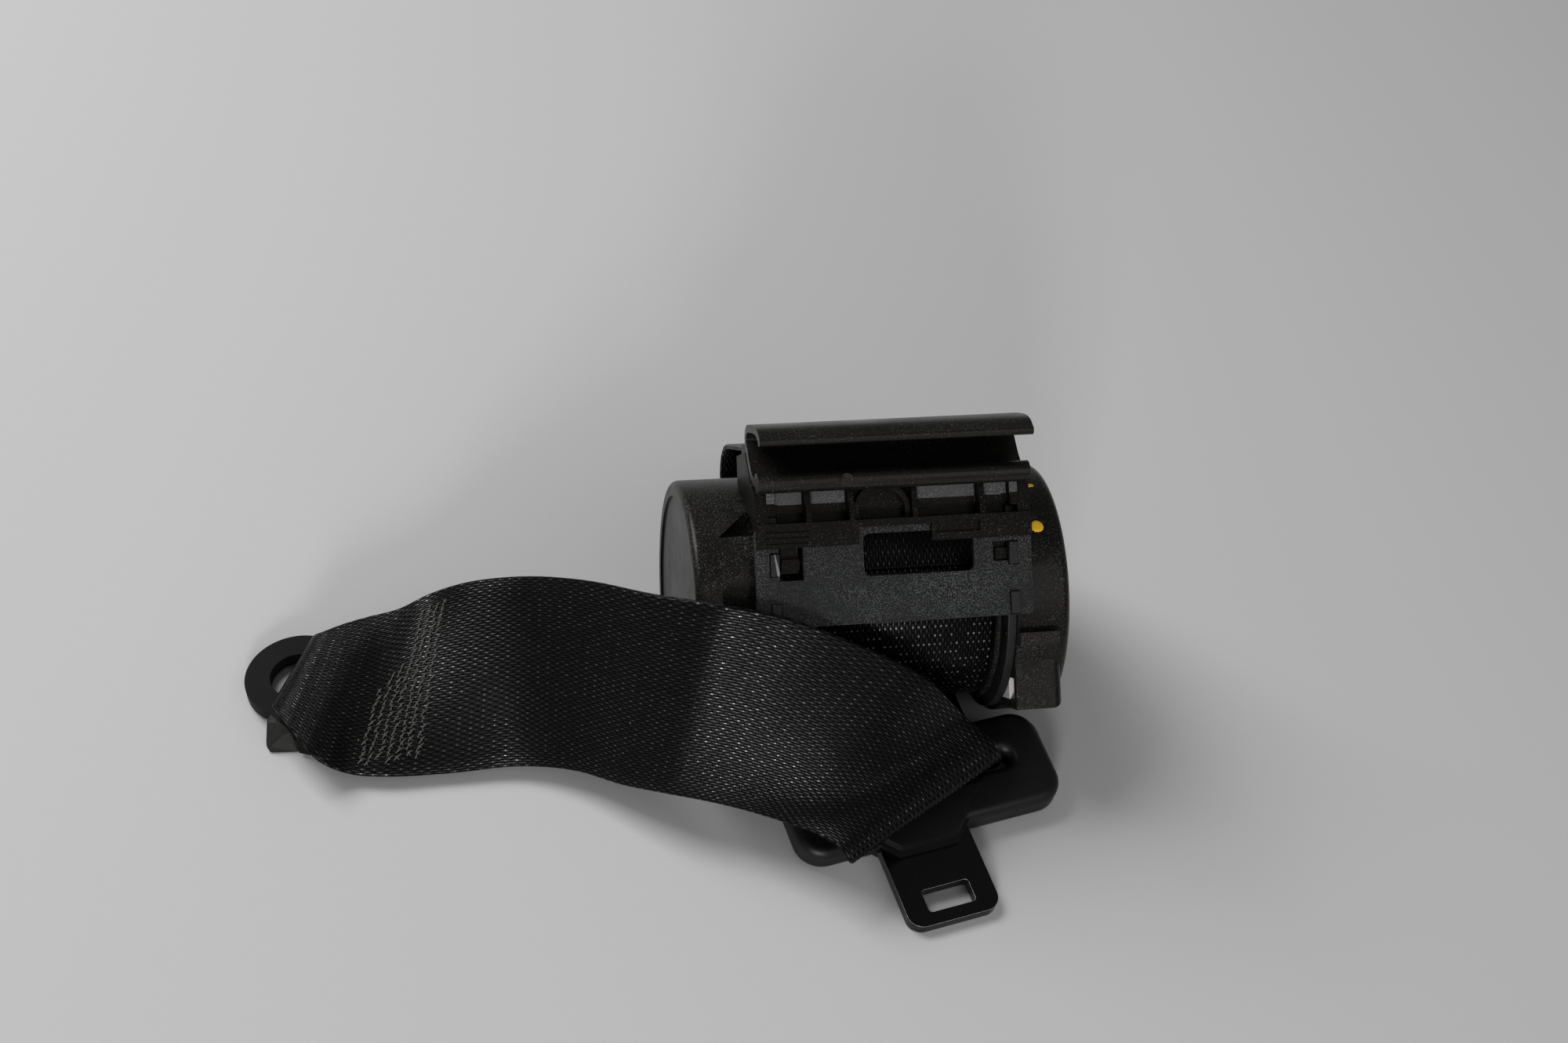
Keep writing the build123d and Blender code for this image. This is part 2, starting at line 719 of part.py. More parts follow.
# Cross lines of the free webbing between tongue and anchor: front edge, back edge,
# with y from the caps' front
free_lines = [
    ((-14.4, -35.7, 15.4), (25.6, -10.3, 15.8)),
    ((-15.6, -33.9, 17.0), (24.2, -8.3, 18.0)),
    ((-20, -29, 16.6), (18, -4, 22)),
    ((-29, -22.5, 14.8), (6, -3.9, 38)),
    ((-38, -17.5, 13.6), (-12, -0.1, 48)),
    ((-45, -14.5, 13), (-27, 4.1, 53)),
    ((-52, -11.5, 12), (-40, 7.5, 54)),
    ((-60, -6.5, 9), (-53, 15.5, 49)),
    ((-70, 0.5, 6), (-66, 27.5, 40.5)),
    ((-82, 4.5, 3.6), (-79, 38.5, 30)),
    ((-98, 4.5, 2.8), (-91, 43.5, 23)),
    ((-112, 4.5, 3.2), (-99.5, 45.5, 17)),
]


def laid_line(front, back, thickness=webbing_thickness):
    """A cross line whose points are given from the caps' front."""
    shift = Vector(0, -cap_radius, 0)
    return Vector(*front) + shift, Vector(*back) + shift, thickness


def anchor_point(along, across, z=0.0):
    """A point given from the eye towards the webbing and across it to the front."""
    turn = math.radians(anchor_yaw)
    return (anchor_place[0] + along * math.cos(turn) + across * math.sin(turn),
            anchor_place[1] + along * math.sin(turn) - across * math.cos(turn), z)


anchor_bar_axis = anchor_hole_radius + anchor_web + anchor_slot + anchor_bar / 2
anchor_wrap = anchor_bar / 2 + 0.9 + fold_thickness / 2
anchor_axis_height = anchor_wrap + fold_thickness / 2


def loop_lines():
    """Cross lines of the webbing narrowed round the anchor bar, and its doubled end."""
    half = fold_width / 2
    lines = [laid_line((-119.0, 9.5, 6.6), (-105.5, 42.1, 14.0))]
    for angle in (90, 115, 135, 155, 180, 205, 225, 245, 270):
        along, z = polar(anchor_wrap, angle)
        height = anchor_axis_height + z
        lines.append(cross_line(anchor_point(anchor_bar_axis + along, half, height),
                                anchor_point(anchor_bar_axis + along, -half, height), fold_thickness))
    lines.append(laid_line((-114.5, 11.3, 1.1), (-104.4, 39.0, 4.4)))
    lines.append(laid_line((-104.5, 7.0, 1.3), (-95.0, 40.7, 14.6)))
    return lines


def belt_lines():
    """Every cross line from the floor behind the retractor to the stitched end, and where the runs meet."""
    lower = lower_lines()
    free = [laid_line(front, back) for front, back in free_lines]
    fold = len(lower)
    stitches = fold + len(free) - 1
    return lower + free + loop_lines(), fold, stitches


def make_lower_run():
    """Webbing under the retractor and up through the tongue's slot to the fold."""
    lines, fold, stitches = belt_lines()
    return ribbon(lines, 0, fold)


def make_arch():
    """The free webbing from the fold over the tongue to the stitching."""
    lines, fold, stitches = belt_lines()
    return ribbon(lines, fold, stitches)


def make_anchor_loop():
    """Webbing round the anchor bar, with the end doubled under the stitching."""
    lines, fold, stitches = belt_lines()
    return ribbon(lines, stitches, len(lines) - 1)


def tongue_tilt():
    """Angle that brings the blade's tip down onto the table."""
    return math.degrees(math.asin((bar_axis_height - blade_thickness / 2) / blade_tip))


def lay_tongue(shape):
    """The tongue, drawn flat about its bar axis with the blade towards -Y, put in its place."""
    place = Pos(*tongue_place, bar_axis_height) * Rot(Z=tongue_yaw) * Rot(X=tongue_tilt())
    return place * shape


def upright(outline, thickness):
    """A flat outline thickened evenly about its plane."""
    return Pos(0, 0, -thickness / 2) * extrude(outline, thickness, dir=(0, 0, 1))


def bean_outline(inside=0.0):
    """Outer shape of the moulding round the slot, seen from above, or a step inside it."""
    depth = cover_back + cover_front
    bean = Pos(cover_middle, (cover_back - cover_front) / 2)
    bean *= Rectangle(2 * (cover_half_length - inside), depth - 2 * inside)
    return fillet(bean.vertices(), end_corner - inside)


def tail_outline(back):
    """The tail over the blade's root, and the hump above it."""
    side = tail_half_width + tail_front - back
    tail = Polygon((-side, -back), (-tail_half_width, -tail_front), (tail_half_width, -tail_front),
                   (side, -back), align=None)
    return Pos(blade_middle, 0) * tail


def slot_outline(grow=0.0):
    """The webbing's slot between the tongue's end bar and front bar."""
    width = tongue_slot_width + grow
    middle = -end_bar_radius - tongue_slot_width / 2
    return Pos(0, middle) * SlotOverall(2 * tongue_slot_half + grow, width)


def make_tongue_cover():
    """Plastic moulding round the slot, with rounded bars, a raised middle and a tail."""
    cover = upright(bean_outline(), cover_height) - upright(slot_outline(), 30)
    rim = [edge for edge in cover.edges() if abs(edge.center().Z) > cover_height / 2 - 0.01]
    cover = fillet(rim, cover_round)
    tail = upright(tail_outline(cover_front - 4), cover_height - 2 * tail_step)
    hump = tail_outline(end_bar_radius + tongue_slot_width + cover_round)
    cover += tail + extrude(hump, cover_height / 2 + hump_height, taper=hump_taper, dir=(0, 0, 1))
    cover -= upright(tongue_plate_outline(), blade_thickness)
    return lay_tongue(cover)


def tongue_plate_outline():
    """Steel plate: blade, shoulders and the frame round the slot."""
    blade = Pos(blade_middle, -(blade_tip + 12) / 2) * Rectangle(2 * blade_half_width, blade_tip - 12)
    blade = fillet(blade.vertices().group_by(Axis.Y)[0], blade_corner)
    middle = -blade_tip + window_to_tip + blade_window[1] / 2
    blade -= Pos(blade_middle, middle) * RectangleRounded(*blade_window, 0.9)
    ring = bean_outline(2.5)
    return blade + ring - slot_outline(2.0)


def make_tongue_plate():
    """The tongue's steel plate."""
    return lay_tongue(upright(tongue_plate_outline(), blade_thickness))


def anchor_tilt():
    """Angle that brings the eye's far end down onto the table."""
    rise = anchor_axis_height - anchor_thickness / 2
    return math.degrees(math.asin(rise / (anchor_bar_axis + anchor_eye_radius)))


def lay_anchor(shape):
    """The anchor, drawn flat about its bar axis with the eye towards -X, put in its place."""
    place = anchor_point(anchor_bar_axis, 0, anchor_axis_height)
    return Pos(*place) * Rot(Z=anchor_yaw) * Rot(Y=-anchor_tilt()) * shape


def make_anchor_plate():
    """Eye, webbing slot, bar and the turned-down lug at the front corner."""
    base = anchor_bar / 2
    outline = Pos(-anchor_bar_axis, 0) * Circle(anchor_eye_radius)
    shoulder = Polygon((-anchor_bar_axis - 2, -anchor_eye_radius + 0.4),
                       (-base - anchor_slot, -anchor_half_width),
                       (base, -anchor_half_width), (base, anchor_half_width),
                       (-base - anchor_slot, anchor_half_width),
                       (-anchor_bar_axis - 2, anchor_eye_radius - 0.4),
                       align=None)
    outline += fillet(shoulder.vertices(), 1.0)
    outline -= Pos(-anchor_bar_axis, 0) * Circle(anchor_hole_radius)
    outline -= Pos(-base - anchor_slot / 2, 0) * SlotOverall(2 * anchor_slot_half, anchor_slot, rotation=90)
    plate = upright(outline, anchor_thickness)
    for side in (-1, 1):
        edge = side * (anchor_half_width - anchor_thickness / 2)
        flank = Pos(-base - anchor_slot / 2, edge, -anchor_flank / 2)
        plate += flank * Box(anchor_slot + anchor_bar - 1.6, anchor_thickness,
                             anchor_thickness + anchor_flank)
    return lay_anchor(plate)


def build_all():
    """Every piece by its node name."""
    return {
        "frame": make_frame(),
        "tie_plate": make_tie_plate(),
        "guide_body": make_guide_body(),
        "guide_channel": make_guide_channel(),
        "labels": make_labels(),
        "spring_cover": make_spring_cover(),
        "sensor_cover": make_sensor_cover(),
        "spool": make_spool(),
        "webbing_roll": make_webbing_roll(),
        "torsion_bar": make_torsion_bar(),
        "lock_head": make_lock_head(),
        "locking_pawl": make_pawl(),
        "lock_gear": make_lock_gear(),
        "spring_case": make_spring_case(),
        "spring_arbor": make_spring_arbor(),
        "return_spring": make_return_spring(),
        "left_bush": make_left_bush(),
        "right_bush": make_right_bush(),
        "sensor_housing": make_sensor_housing(),
        "sensor_ball": make_sensor_ball(),
        "sensor_lever": make_sensor_lever(),
        "webbing_upper_run": make_upper_run(),
        "webbing_lower_run": make_lower_run(),
        "webbing_arch": make_arch(),
        "webbing_anchor_loop": make_anchor_loop(),
        "tongue_cover": make_tongue_cover(),
        "tongue_plate": make_tongue_plate(),
        "anchor_plate": make_anchor_plate(),
    }


def row_shift(shapes):
    """Shift that brings the middle of the underside's box to the origin."""
    boxes = [shape.bounding_box() for shape in shapes]
    low = [min(getattr(box.min, axis) for box in boxes) for axis in "XYZ"]
    high = [max(getattr(box.max, axis) for box in boxes) for axis in "XYZ"]
    return Pos(-(low[0] + high[0]) / 2, -(low[1] + high[1]) / 2, -low[2])


pieces = build_all()
origin = row_shift(pieces.values())
for name, shape in pieces.items():
    export_step(origin * shape, f"parts/{name}.step")
print("shift to the origin:", origin.position)
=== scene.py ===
"""Looks of the car seat belt: finishes, webbing, stitching, small trim, light and camera."""

import bisect
import logging
import math
import random
from dataclasses import dataclass, field
from enum import Enum
from functools import cached_property
from typing import NamedTuple

import bmesh
import bpy
from mathutils import Matrix, Vector


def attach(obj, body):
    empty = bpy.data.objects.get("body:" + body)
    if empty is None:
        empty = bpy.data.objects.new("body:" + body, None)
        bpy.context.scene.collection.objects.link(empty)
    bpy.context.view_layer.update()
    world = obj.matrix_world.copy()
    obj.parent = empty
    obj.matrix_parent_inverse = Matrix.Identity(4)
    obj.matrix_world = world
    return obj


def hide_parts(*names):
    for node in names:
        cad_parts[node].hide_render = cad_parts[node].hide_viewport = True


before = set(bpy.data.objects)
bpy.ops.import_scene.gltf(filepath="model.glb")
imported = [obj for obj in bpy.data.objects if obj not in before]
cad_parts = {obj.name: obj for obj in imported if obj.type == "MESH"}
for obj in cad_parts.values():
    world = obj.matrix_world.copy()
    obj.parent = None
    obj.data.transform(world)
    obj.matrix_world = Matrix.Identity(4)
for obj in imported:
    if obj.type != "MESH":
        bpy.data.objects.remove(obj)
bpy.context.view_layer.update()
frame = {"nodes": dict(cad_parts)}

log = logging.getLogger("seat_belt")

Color = tuple[float, float, float, float]
Tint = tuple[float, float, float]
Spot = tuple[float, float, float]
Pair = tuple[float, float]
Four = tuple[float, float, float, float]
Edges = tuple[tuple[Spot, Spot], ...]
Face = tuple[int, ...]
Socket = bpy.types.NodeSocket
Value = bpy.types.NodeSocket | float | Color
Nodes = dict[str, bpy.types.Object]

MM = 0.001
# Least lengths in millimetres, so that nothing is divided by zero
LEAST_STEP = 1e-6
LEAST_GAP = 1e-4
# Place of the belt's own origin, on the table under the spool's middle, in the row frame
SHIFT = Vector((50.8147, 6.27427, 0.0))
# How far the retractor lies back from upright, and how high its spool is above the table
LEAN_BACK = math.radians(47.0)
SPOOL_HEIGHT = 28.5
CAP_RADIUS = 28.5
ROLL_RADIUS = 24.2
WEBBING_WIDTH = 47.0


class Body(Enum):
    """The bodies of the CAD model that pieces of the scene ride on."""

    ROOT = "root"
    SPOOL = "spool_body"
    ANCHOR = "anchor_body"


class Space(Enum):
    """The coordinates a texture follows."""

    OBJECT = "Object"
    UV = "UV"


class Operation(Enum):
    """The calculations that a material does."""

    ADD = "ADD"
    SUBTRACT = "SUBTRACT"
    MULTIPLY = "MULTIPLY"
    DIVIDE = "DIVIDE"
    POWER = "POWER"
    ABSOLUTE = "ABSOLUTE"
    FLOOR = "FLOOR"
    FRACTION = "FRACT"


def row(x: float, y: float, z: float) -> Vector:
    """A point in the row frame, from the belt's millimetres along the spool's axis, back and up."""
    return (Vector((x, y, z)) + SHIFT) * MM


def laid(y: float, z: float) -> Pair:
    """Where a point of the upright retractor lies after it is laid back.

    Args:
        y: Depth in the upright retractor.
        z: Height in the upright retractor.

    Returns:
        Depth and height over the table, in millimetres.
    """
    back = y * math.cos(LEAN_BACK) + z * math.sin(LEAN_BACK)
    height = -y * math.sin(LEAN_BACK) + z * math.cos(LEAN_BACK) + SPOOL_HEIGHT
    return back, height


def polar(radius: float, degrees: float) -> Pair:
    """The two coordinates of a point at a radius and an angle."""
    turn = math.radians(degrees)
    return radius * math.cos(turn), radius * math.sin(turn)


def grey(level: float, tint: Tint = (1.0, 1.0, 1.0)) -> Color:
    """A grey of a linear level, with a slight tint as a factor of each channel."""
    return (level * tint[0], level * tint[1], level * tint[2], 1.0)


def shade(color: Color, factor: float) -> Color:
    """A colour made darker or lighter by a factor."""
    return (*(min(1.0, channel * factor) for channel in color[:3]), 1.0)


class Graph:
    """A short way to write a material's node tree."""

    def __init__(self, name: str) -> None:
        """Starts an empty material.

        Args:
            name: The material's name.
        """
        self.material = bpy.data.materials.new(name)
        self.material.use_nodes = True
        self.nodes = self.material.node_tree.nodes
        self.links = self.material.node_tree.links
        self.nodes.clear()
        self.shader = self.nodes.new("ShaderNodeBsdfPrincipled")
        output = self.nodes.new("ShaderNodeOutputMaterial")
        self.links.new(self.shader.outputs[0], output.inputs[0])

    def feed(self, socket: Socket, value: Value) -> None:
        """Gives a socket a constant or a link.

        Args:
            socket: The input socket.
            value: A number, a colour or an output socket.
        """
        if isinstance(value, bpy.types.NodeSocket):
            self.links.new(value, socket)
        else:
            socket.default_value = value

    def calculate(self, operation: Operation, *values: Value) -> Socket:
        """A calculation with numbers or sockets.

        Args:
            operation: What is done.
            values: What it is done to.

        Returns:
            The result's socket.
        """
        node = self.nodes.new("ShaderNodeMath")
        node.operation = operation.value
        for socket, value in zip(node.inputs, values):
            self.feed(socket, value)
        return node.outputs[0]

    def add(self, first: Value, second: Value) -> Socket:
        """The first value plus the second."""
        return self.calculate(Operation.ADD, first, second)

    def less(self, first: Value, second: Value) -> Socket:
        """The first value less the second."""
        return self.calculate(Operation.SUBTRACT, first, second)

    def times(self, first: Value, second: Value) -> Socket:
        """The first value times the second."""
        return self.calculate(Operation.MULTIPLY, first, second)

    def divide(self, first: Value, second: Value) -> Socket:
        """The first value divided by the second."""
        return self.calculate(Operation.DIVIDE, first, second)

    def in_cell(self, value: Value) -> Socket:
        """The place between two whole numbers, from -1 to 1."""
        return self.less(self.times(self.calculate(Operation.FRACTION, value), 2.0), 1.0)

    def coordinates(self, space: Space) -> Socket:
        """Texture coordinates in a space."""
        return self.nodes.new("ShaderNodeTexCoord").outputs[space.value]

    def flat_coordinates(self) -> tuple[Socket, Socket]:
        """The two UV coordinates.

        Returns:
            The sockets of the place across and the place along.
        """
        node = self.nodes.new("ShaderNodeSeparateXYZ")
        self.feed(node.inputs[0], self.coordinates(Space.UV))
        return node.outputs[0], node.outputs[1]

    def noise(self, vector: Socket, scale: float, detail: float = 2.0, roughness: float = 0.5) -> Socket:
        """A noise texture.

        Args:
            vector: Coordinates.
            scale: Waves per metre.
            detail: Octaves.
            roughness: Share of the finer octaves.

        Returns:
            The value socket.
        """
        node = self.nodes.new("ShaderNodeTexNoise")
        self.feed(node.inputs["Vector"], vector)
        node.inputs["Scale"].default_value = scale
        node.inputs["Detail"].default_value = detail
        node.inputs["Roughness"].default_value = roughness
        return node.outputs["Fac"]

    def between(self, value: Value, source: Pair, target: Pair = (0.0, 1.0)) -> Socket:
        """A clamped linear map.

        Args:
            value: What is mapped.
            source: The values that give the first and the last result.
            target: The first and the last result.

        Returns:
            The mapped socket.
        """
        node = self.nodes.new("ShaderNodeMapRange")
        self.feed(node.inputs["Value"], value)
        for name, number in zip(("From Min", "From Max", "To Min", "To Max"), (*source, *target)):
            node.inputs[name].default_value = number
        return node.outputs[0]

    def chance(self, first: Socket, second: Socket) -> Socket:
        """An even random number for each pair of whole numbers.

        Args:
            first: First number's socket.
            second: Second number's socket.

        Returns:
            The value socket.
        """
        pair = self.nodes.new("ShaderNodeCombineXYZ")
        self.feed(pair.inputs[0], first)
        self.feed(pair.inputs[1], second)
        node = self.nodes.new("ShaderNodeTexWhiteNoise")
        node.noise_dimensions = "2D"
        self.links.new(pair.outputs[0], node.inputs["Vector"])
        return node.outputs["Value"]

    def mix(self, factor: Value, first: Value, second: Value) -> Socket:
        """A colour mix.

        Args:
            factor: Share of the second colour.
            first: First colour.
            second: Second colour.

        Returns:
            The colour socket.
        """
        node = self.nodes.new("ShaderNodeMix")
        node.data_type = "RGBA"
        # The colour mix has its factor, its two colours and its result at these places
        for place, value in ((0, factor), (6, first), (7, second)):
            self.feed(node.inputs[place], value)
        return node.outputs[2]

    def bump(self, height: Socket, strength: float, distance: float) -> None:
        """Bump on the shader.

        Args:
            height: Height socket, 0 to 1.
            strength: Strength of the bump.
            distance: Height of 1, in metres.
        """
        node = self.nodes.new("ShaderNodeBump")
        node.inputs["Strength"].default_value = strength
        node.inputs["Distance"].default_value = distance
        self.feed(node.inputs["Height"], height)
        self.links.new(node.outputs[0], self.shader.inputs["Normal"])

    def surface(self, **values: Value) -> None:
        """Sets the shader's inputs, named with underscores for spaces."""
        for name, value in values.items():
            self.feed(self.shader.inputs[name.replace("_", " ")], value)


@dataclass(frozen=True)
class Grained:
    """A finish with a fine grain, bright flecks, darker patches and uneven gloss.

    Grain and patch_scale are in waves per metre, and grain_depth is in metres. Flecks is the noise
    from which they show, so a higher value gives fewer. A range holds the values of the patches'
    noise that give the first and the last result.
    """

    name: str
    color: Color
    fleck: Color
    roughness: float
    metallic: float = 0.0
    grain: float = 3500.0
    grain_depth: float = 0.02 * MM
    flecks: float = 0.66
    specular: float = 0.2
    gloss: Color = (1.0, 1.0, 1.0, 1.0)
    fleck_edge: float = 0.06
    fleck_finer: float = 1.1
    fewest_flecks: float = 0.25
    patch_scale: float = 60.0
    patch_shade: float = 0.6
    patch_share: float = 0.45
    fleck_range: Pair = (0.38, 0.60)
    shade_range: Pair = (0.35, 0.70)
    gloss_range: Pair = (0.30, 0.70)
    smoother: float = 0.06
    rougher: float = 0.10
    bump: float = 0.6

    def build(self) -> bpy.types.Material:
        """Makes the material.

        Returns:
            The material.
        """
        graph = Graph(self.name)
        place = graph.coordinates(Space.OBJECT)
        grain = graph.noise(place, self.grain, detail=3.0, roughness=0.6)
        patches = graph.noise(place, self.patch_scale, detail=4.0, roughness=0.6)
        glitter = graph.noise(place, self.grain * self.fleck_finer, detail=1.0)
        specks = graph.times(graph.between(glitter, (self.flecks, self.flecks + self.fleck_edge)),
                             graph.between(patches, self.fleck_range, (self.fewest_flecks, 1.0)))
        base = graph.mix(graph.between(patches, self.shade_range, (0.0, self.patch_share)),
                         self.color, shade(self.color, self.patch_shade))
        roughness = graph.between(patches, self.gloss_range,
                                  (self.roughness - self.smoother, self.roughness + self.rougher))
        graph.surface(Base_Color=graph.mix(specks, base, self.fleck), Metallic=self.metallic,
                      Roughness=roughness, Specular_IOR_Level=self.specular, Specular_Tint=self.gloss)
        graph.bump(grain, self.bump, self.grain_depth)
        return graph.material


@dataclass(frozen=True)
class Plain:
    """An even finish with a slightly uneven gloss. Patch_scale is waves per metre."""

    name: str
    color: Color
    roughness: float
    metallic: float = 0.0
    patch_scale: float = 300.0
    gloss_range: Pair = (0.30, 0.70)
    smoother: float = 0.05
    rougher: float = 0.08

    def build(self) -> bpy.types.Material:
        """Makes the material.

        Returns:
            The material.
        """
        graph = Graph(self.name)
        patches = graph.noise(graph.coordinates(Space.OBJECT), self.patch_scale, detail=3.0)
        roughness = graph.between(patches, self.gloss_range,
                                  (self.roughness - self.smoother, self.roughness + self.rougher))
        graph.surface(Base_Color=self.color, Metallic=self.metallic, Roughness=roughness)
        return graph.material


@dataclass(frozen=True)
class Weave:
    """Belt webbing: staggered yarn crowns in rows along the belt. UVs are in metres.

    Across and along are the size of one crown, and depth is its height. A scale is in waves per
    metre. A range holds the input values that give the first and the last result. The base colour
    holds painted shade in the grooves, painted light on the crowns and a painted glint on each
    glinting crown.
    """

    name: str
    color: Color
    across: float = 0.64 * MM
    along: float = 2.6 * MM
    depth: float = 0.08 * MM
    # Grey level and tint of the glint painted into the base colour of each glinting crown
    painted_glint: float = 0.016
    painted_glint_tint: Tint = (1.0, 1.0, 0.97)
    weak: float = 0.35
    sway: float = 0.12
    sway_scale: float = 160.0
    sway_range: Pair = (0.3, 0.7)
    end_height: float = 0.25
    fuzz: float = 0.3
    fuzz_scale: float = 7000.0
    glint_narrow: float = 1.2
    glint_short: float = 16.0
    glint_range: Pair = (0.2, 1.0)
    luck_range: Pair = (0.2, 1.0)
    # Painted shade in the grooves and painted light on the crowns, as factors of the base colour, and the
    # heights that give them
    painted_groove_shade: float = 0.5
    painted_crown_light: float = 1.15
    shade_range: Pair = (0.1, 1.0)
    dust: Color = grey(0.2, (1.0, 0.95, 0.85))
    dust_scale: float = 1500.0
    dust_range: Pair = (0.80, 0.84)
    roughness: Pair = (0.30, 0.20)
    roughness_range: Pair = (0.0, 0.8)
    sheen: Pair = (0.03, 0.60)
    sheen_range: Pair = (0.3, 1.0)
    glint_sheen: Pair = (0.36, 2.0)
    glint_sheen_range: Pair = (0.0, 0.7)

    def relief(self, graph: Graph, place: Socket, side: Socket, end: Socket) -> Socket:
        """How high the yarn stands.

        Args:
            graph: The material's graph.
            place: Object coordinates.
            side: Place across the crown, from -1 to 1.
            end: Place along the crown, from -1 to 1.

        Returns:
            The height's socket.
        """
        rounded = graph.less(1.0, graph.times(side, side))
        off_middle = graph.calculate(Operation.ABSOLUTE, end)
        crown = graph.less(1.0, graph.calculate(Operation.POWER, off_middle, 2.0))
        rise = graph.add(self.end_height, graph.times(crown, 1.0 - self.end_height))
        fuzz = graph.noise(place, self.fuzz_scale)
        return graph.add(graph.times(rounded, rise), graph.times(fuzz, self.fuzz))

    def glints(self, graph: Graph, side: Socket, end: Socket, column: Socket, pick: Socket) -> Socket:
        """How much each crown glints: by chance, and weaker in every second column.

        Args:
            graph: The material's graph.
            side: Place across the crown, from -1 to 1.
            end: Place along the crown, from -1 to 1.
            column: The crown's number across the belt.
            pick: The crown's number along the belt.

        Returns:
            The glint's socket.
        """
        off_middle = graph.add(graph.times(graph.times(side, side), self.glint_narrow),
                               graph.times(graph.times(end, end), self.glint_short))
        luck = graph.between(graph.chance(column, pick), self.luck_range)
        odd = graph.times(graph.calculate(Operation.FRACTION, graph.times(column, 0.5)), 2.0)
        strong = graph.between(odd, (0.0, 1.0), (1.0, self.weak))
        spot = graph.between(off_middle, self.glint_range, (1.0, 0.0))
        # This mask places the painted glint in the base colour and also sets each crown's gloss
        return graph.times(spot, graph.times(luck, strong))

    def build(self) -> bpy.types.Material:
        """Makes the material.

        Returns:
            The material.
        """
        graph = Graph(self.name)
        over, length = graph.flat_coordinates()
        place = graph.coordinates(Space.OBJECT)
        waves = graph.noise(place, self.sway_scale)
        sway = graph.between(waves, self.sway_range, (-self.sway, self.sway))
        warp = graph.add(graph.divide(over, self.across), sway)
        column = graph.calculate(Operation.FLOOR, warp)
        weft = graph.add(graph.divide(length, self.along), graph.times(column, 0.5))
        pick = graph.calculate(Operation.FLOOR, weft)
        side = graph.in_cell(warp)
        end = graph.in_cell(weft)
        height = self.relief(graph, place, side, end)
        painted_glint = self.glints(graph, side, end, column, pick)
        dust = graph.between(graph.noise(place, self.dust_scale, detail=1.0), self.dust_range)
        # Painted shade and light: the base colour is darker in the grooves between yarns and lighter on their
        # crowns
        cloth = graph.mix(graph.between(height, self.shade_range),
                          shade(self.color, self.painted_groove_shade), shade(self.color, self.painted_crown_light))
        # Painted glint: a light spot in the base colour of each glinting crown
        cloth = graph.mix(painted_glint, cloth, grey(self.painted_glint, self.painted_glint_tint))
        shine = graph.times(graph.between(height, self.sheen_range, self.sheen),
                            graph.between(painted_glint, self.glint_sheen_range, self.glint_sheen))
        roughness = graph.between(painted_glint, self.roughness_range, self.roughness)
        graph.surface(Base_Color=graph.mix(dust, cloth, self.dust), Roughness=roughness,
                      Specular_IOR_Level=shine)
        graph.bump(height, 1.0, self.depth)
        return graph.material


# Tint of the gloss on the retractor's dark mouldings
WARM = (1.0, 0.96, 0.87, 1.0)


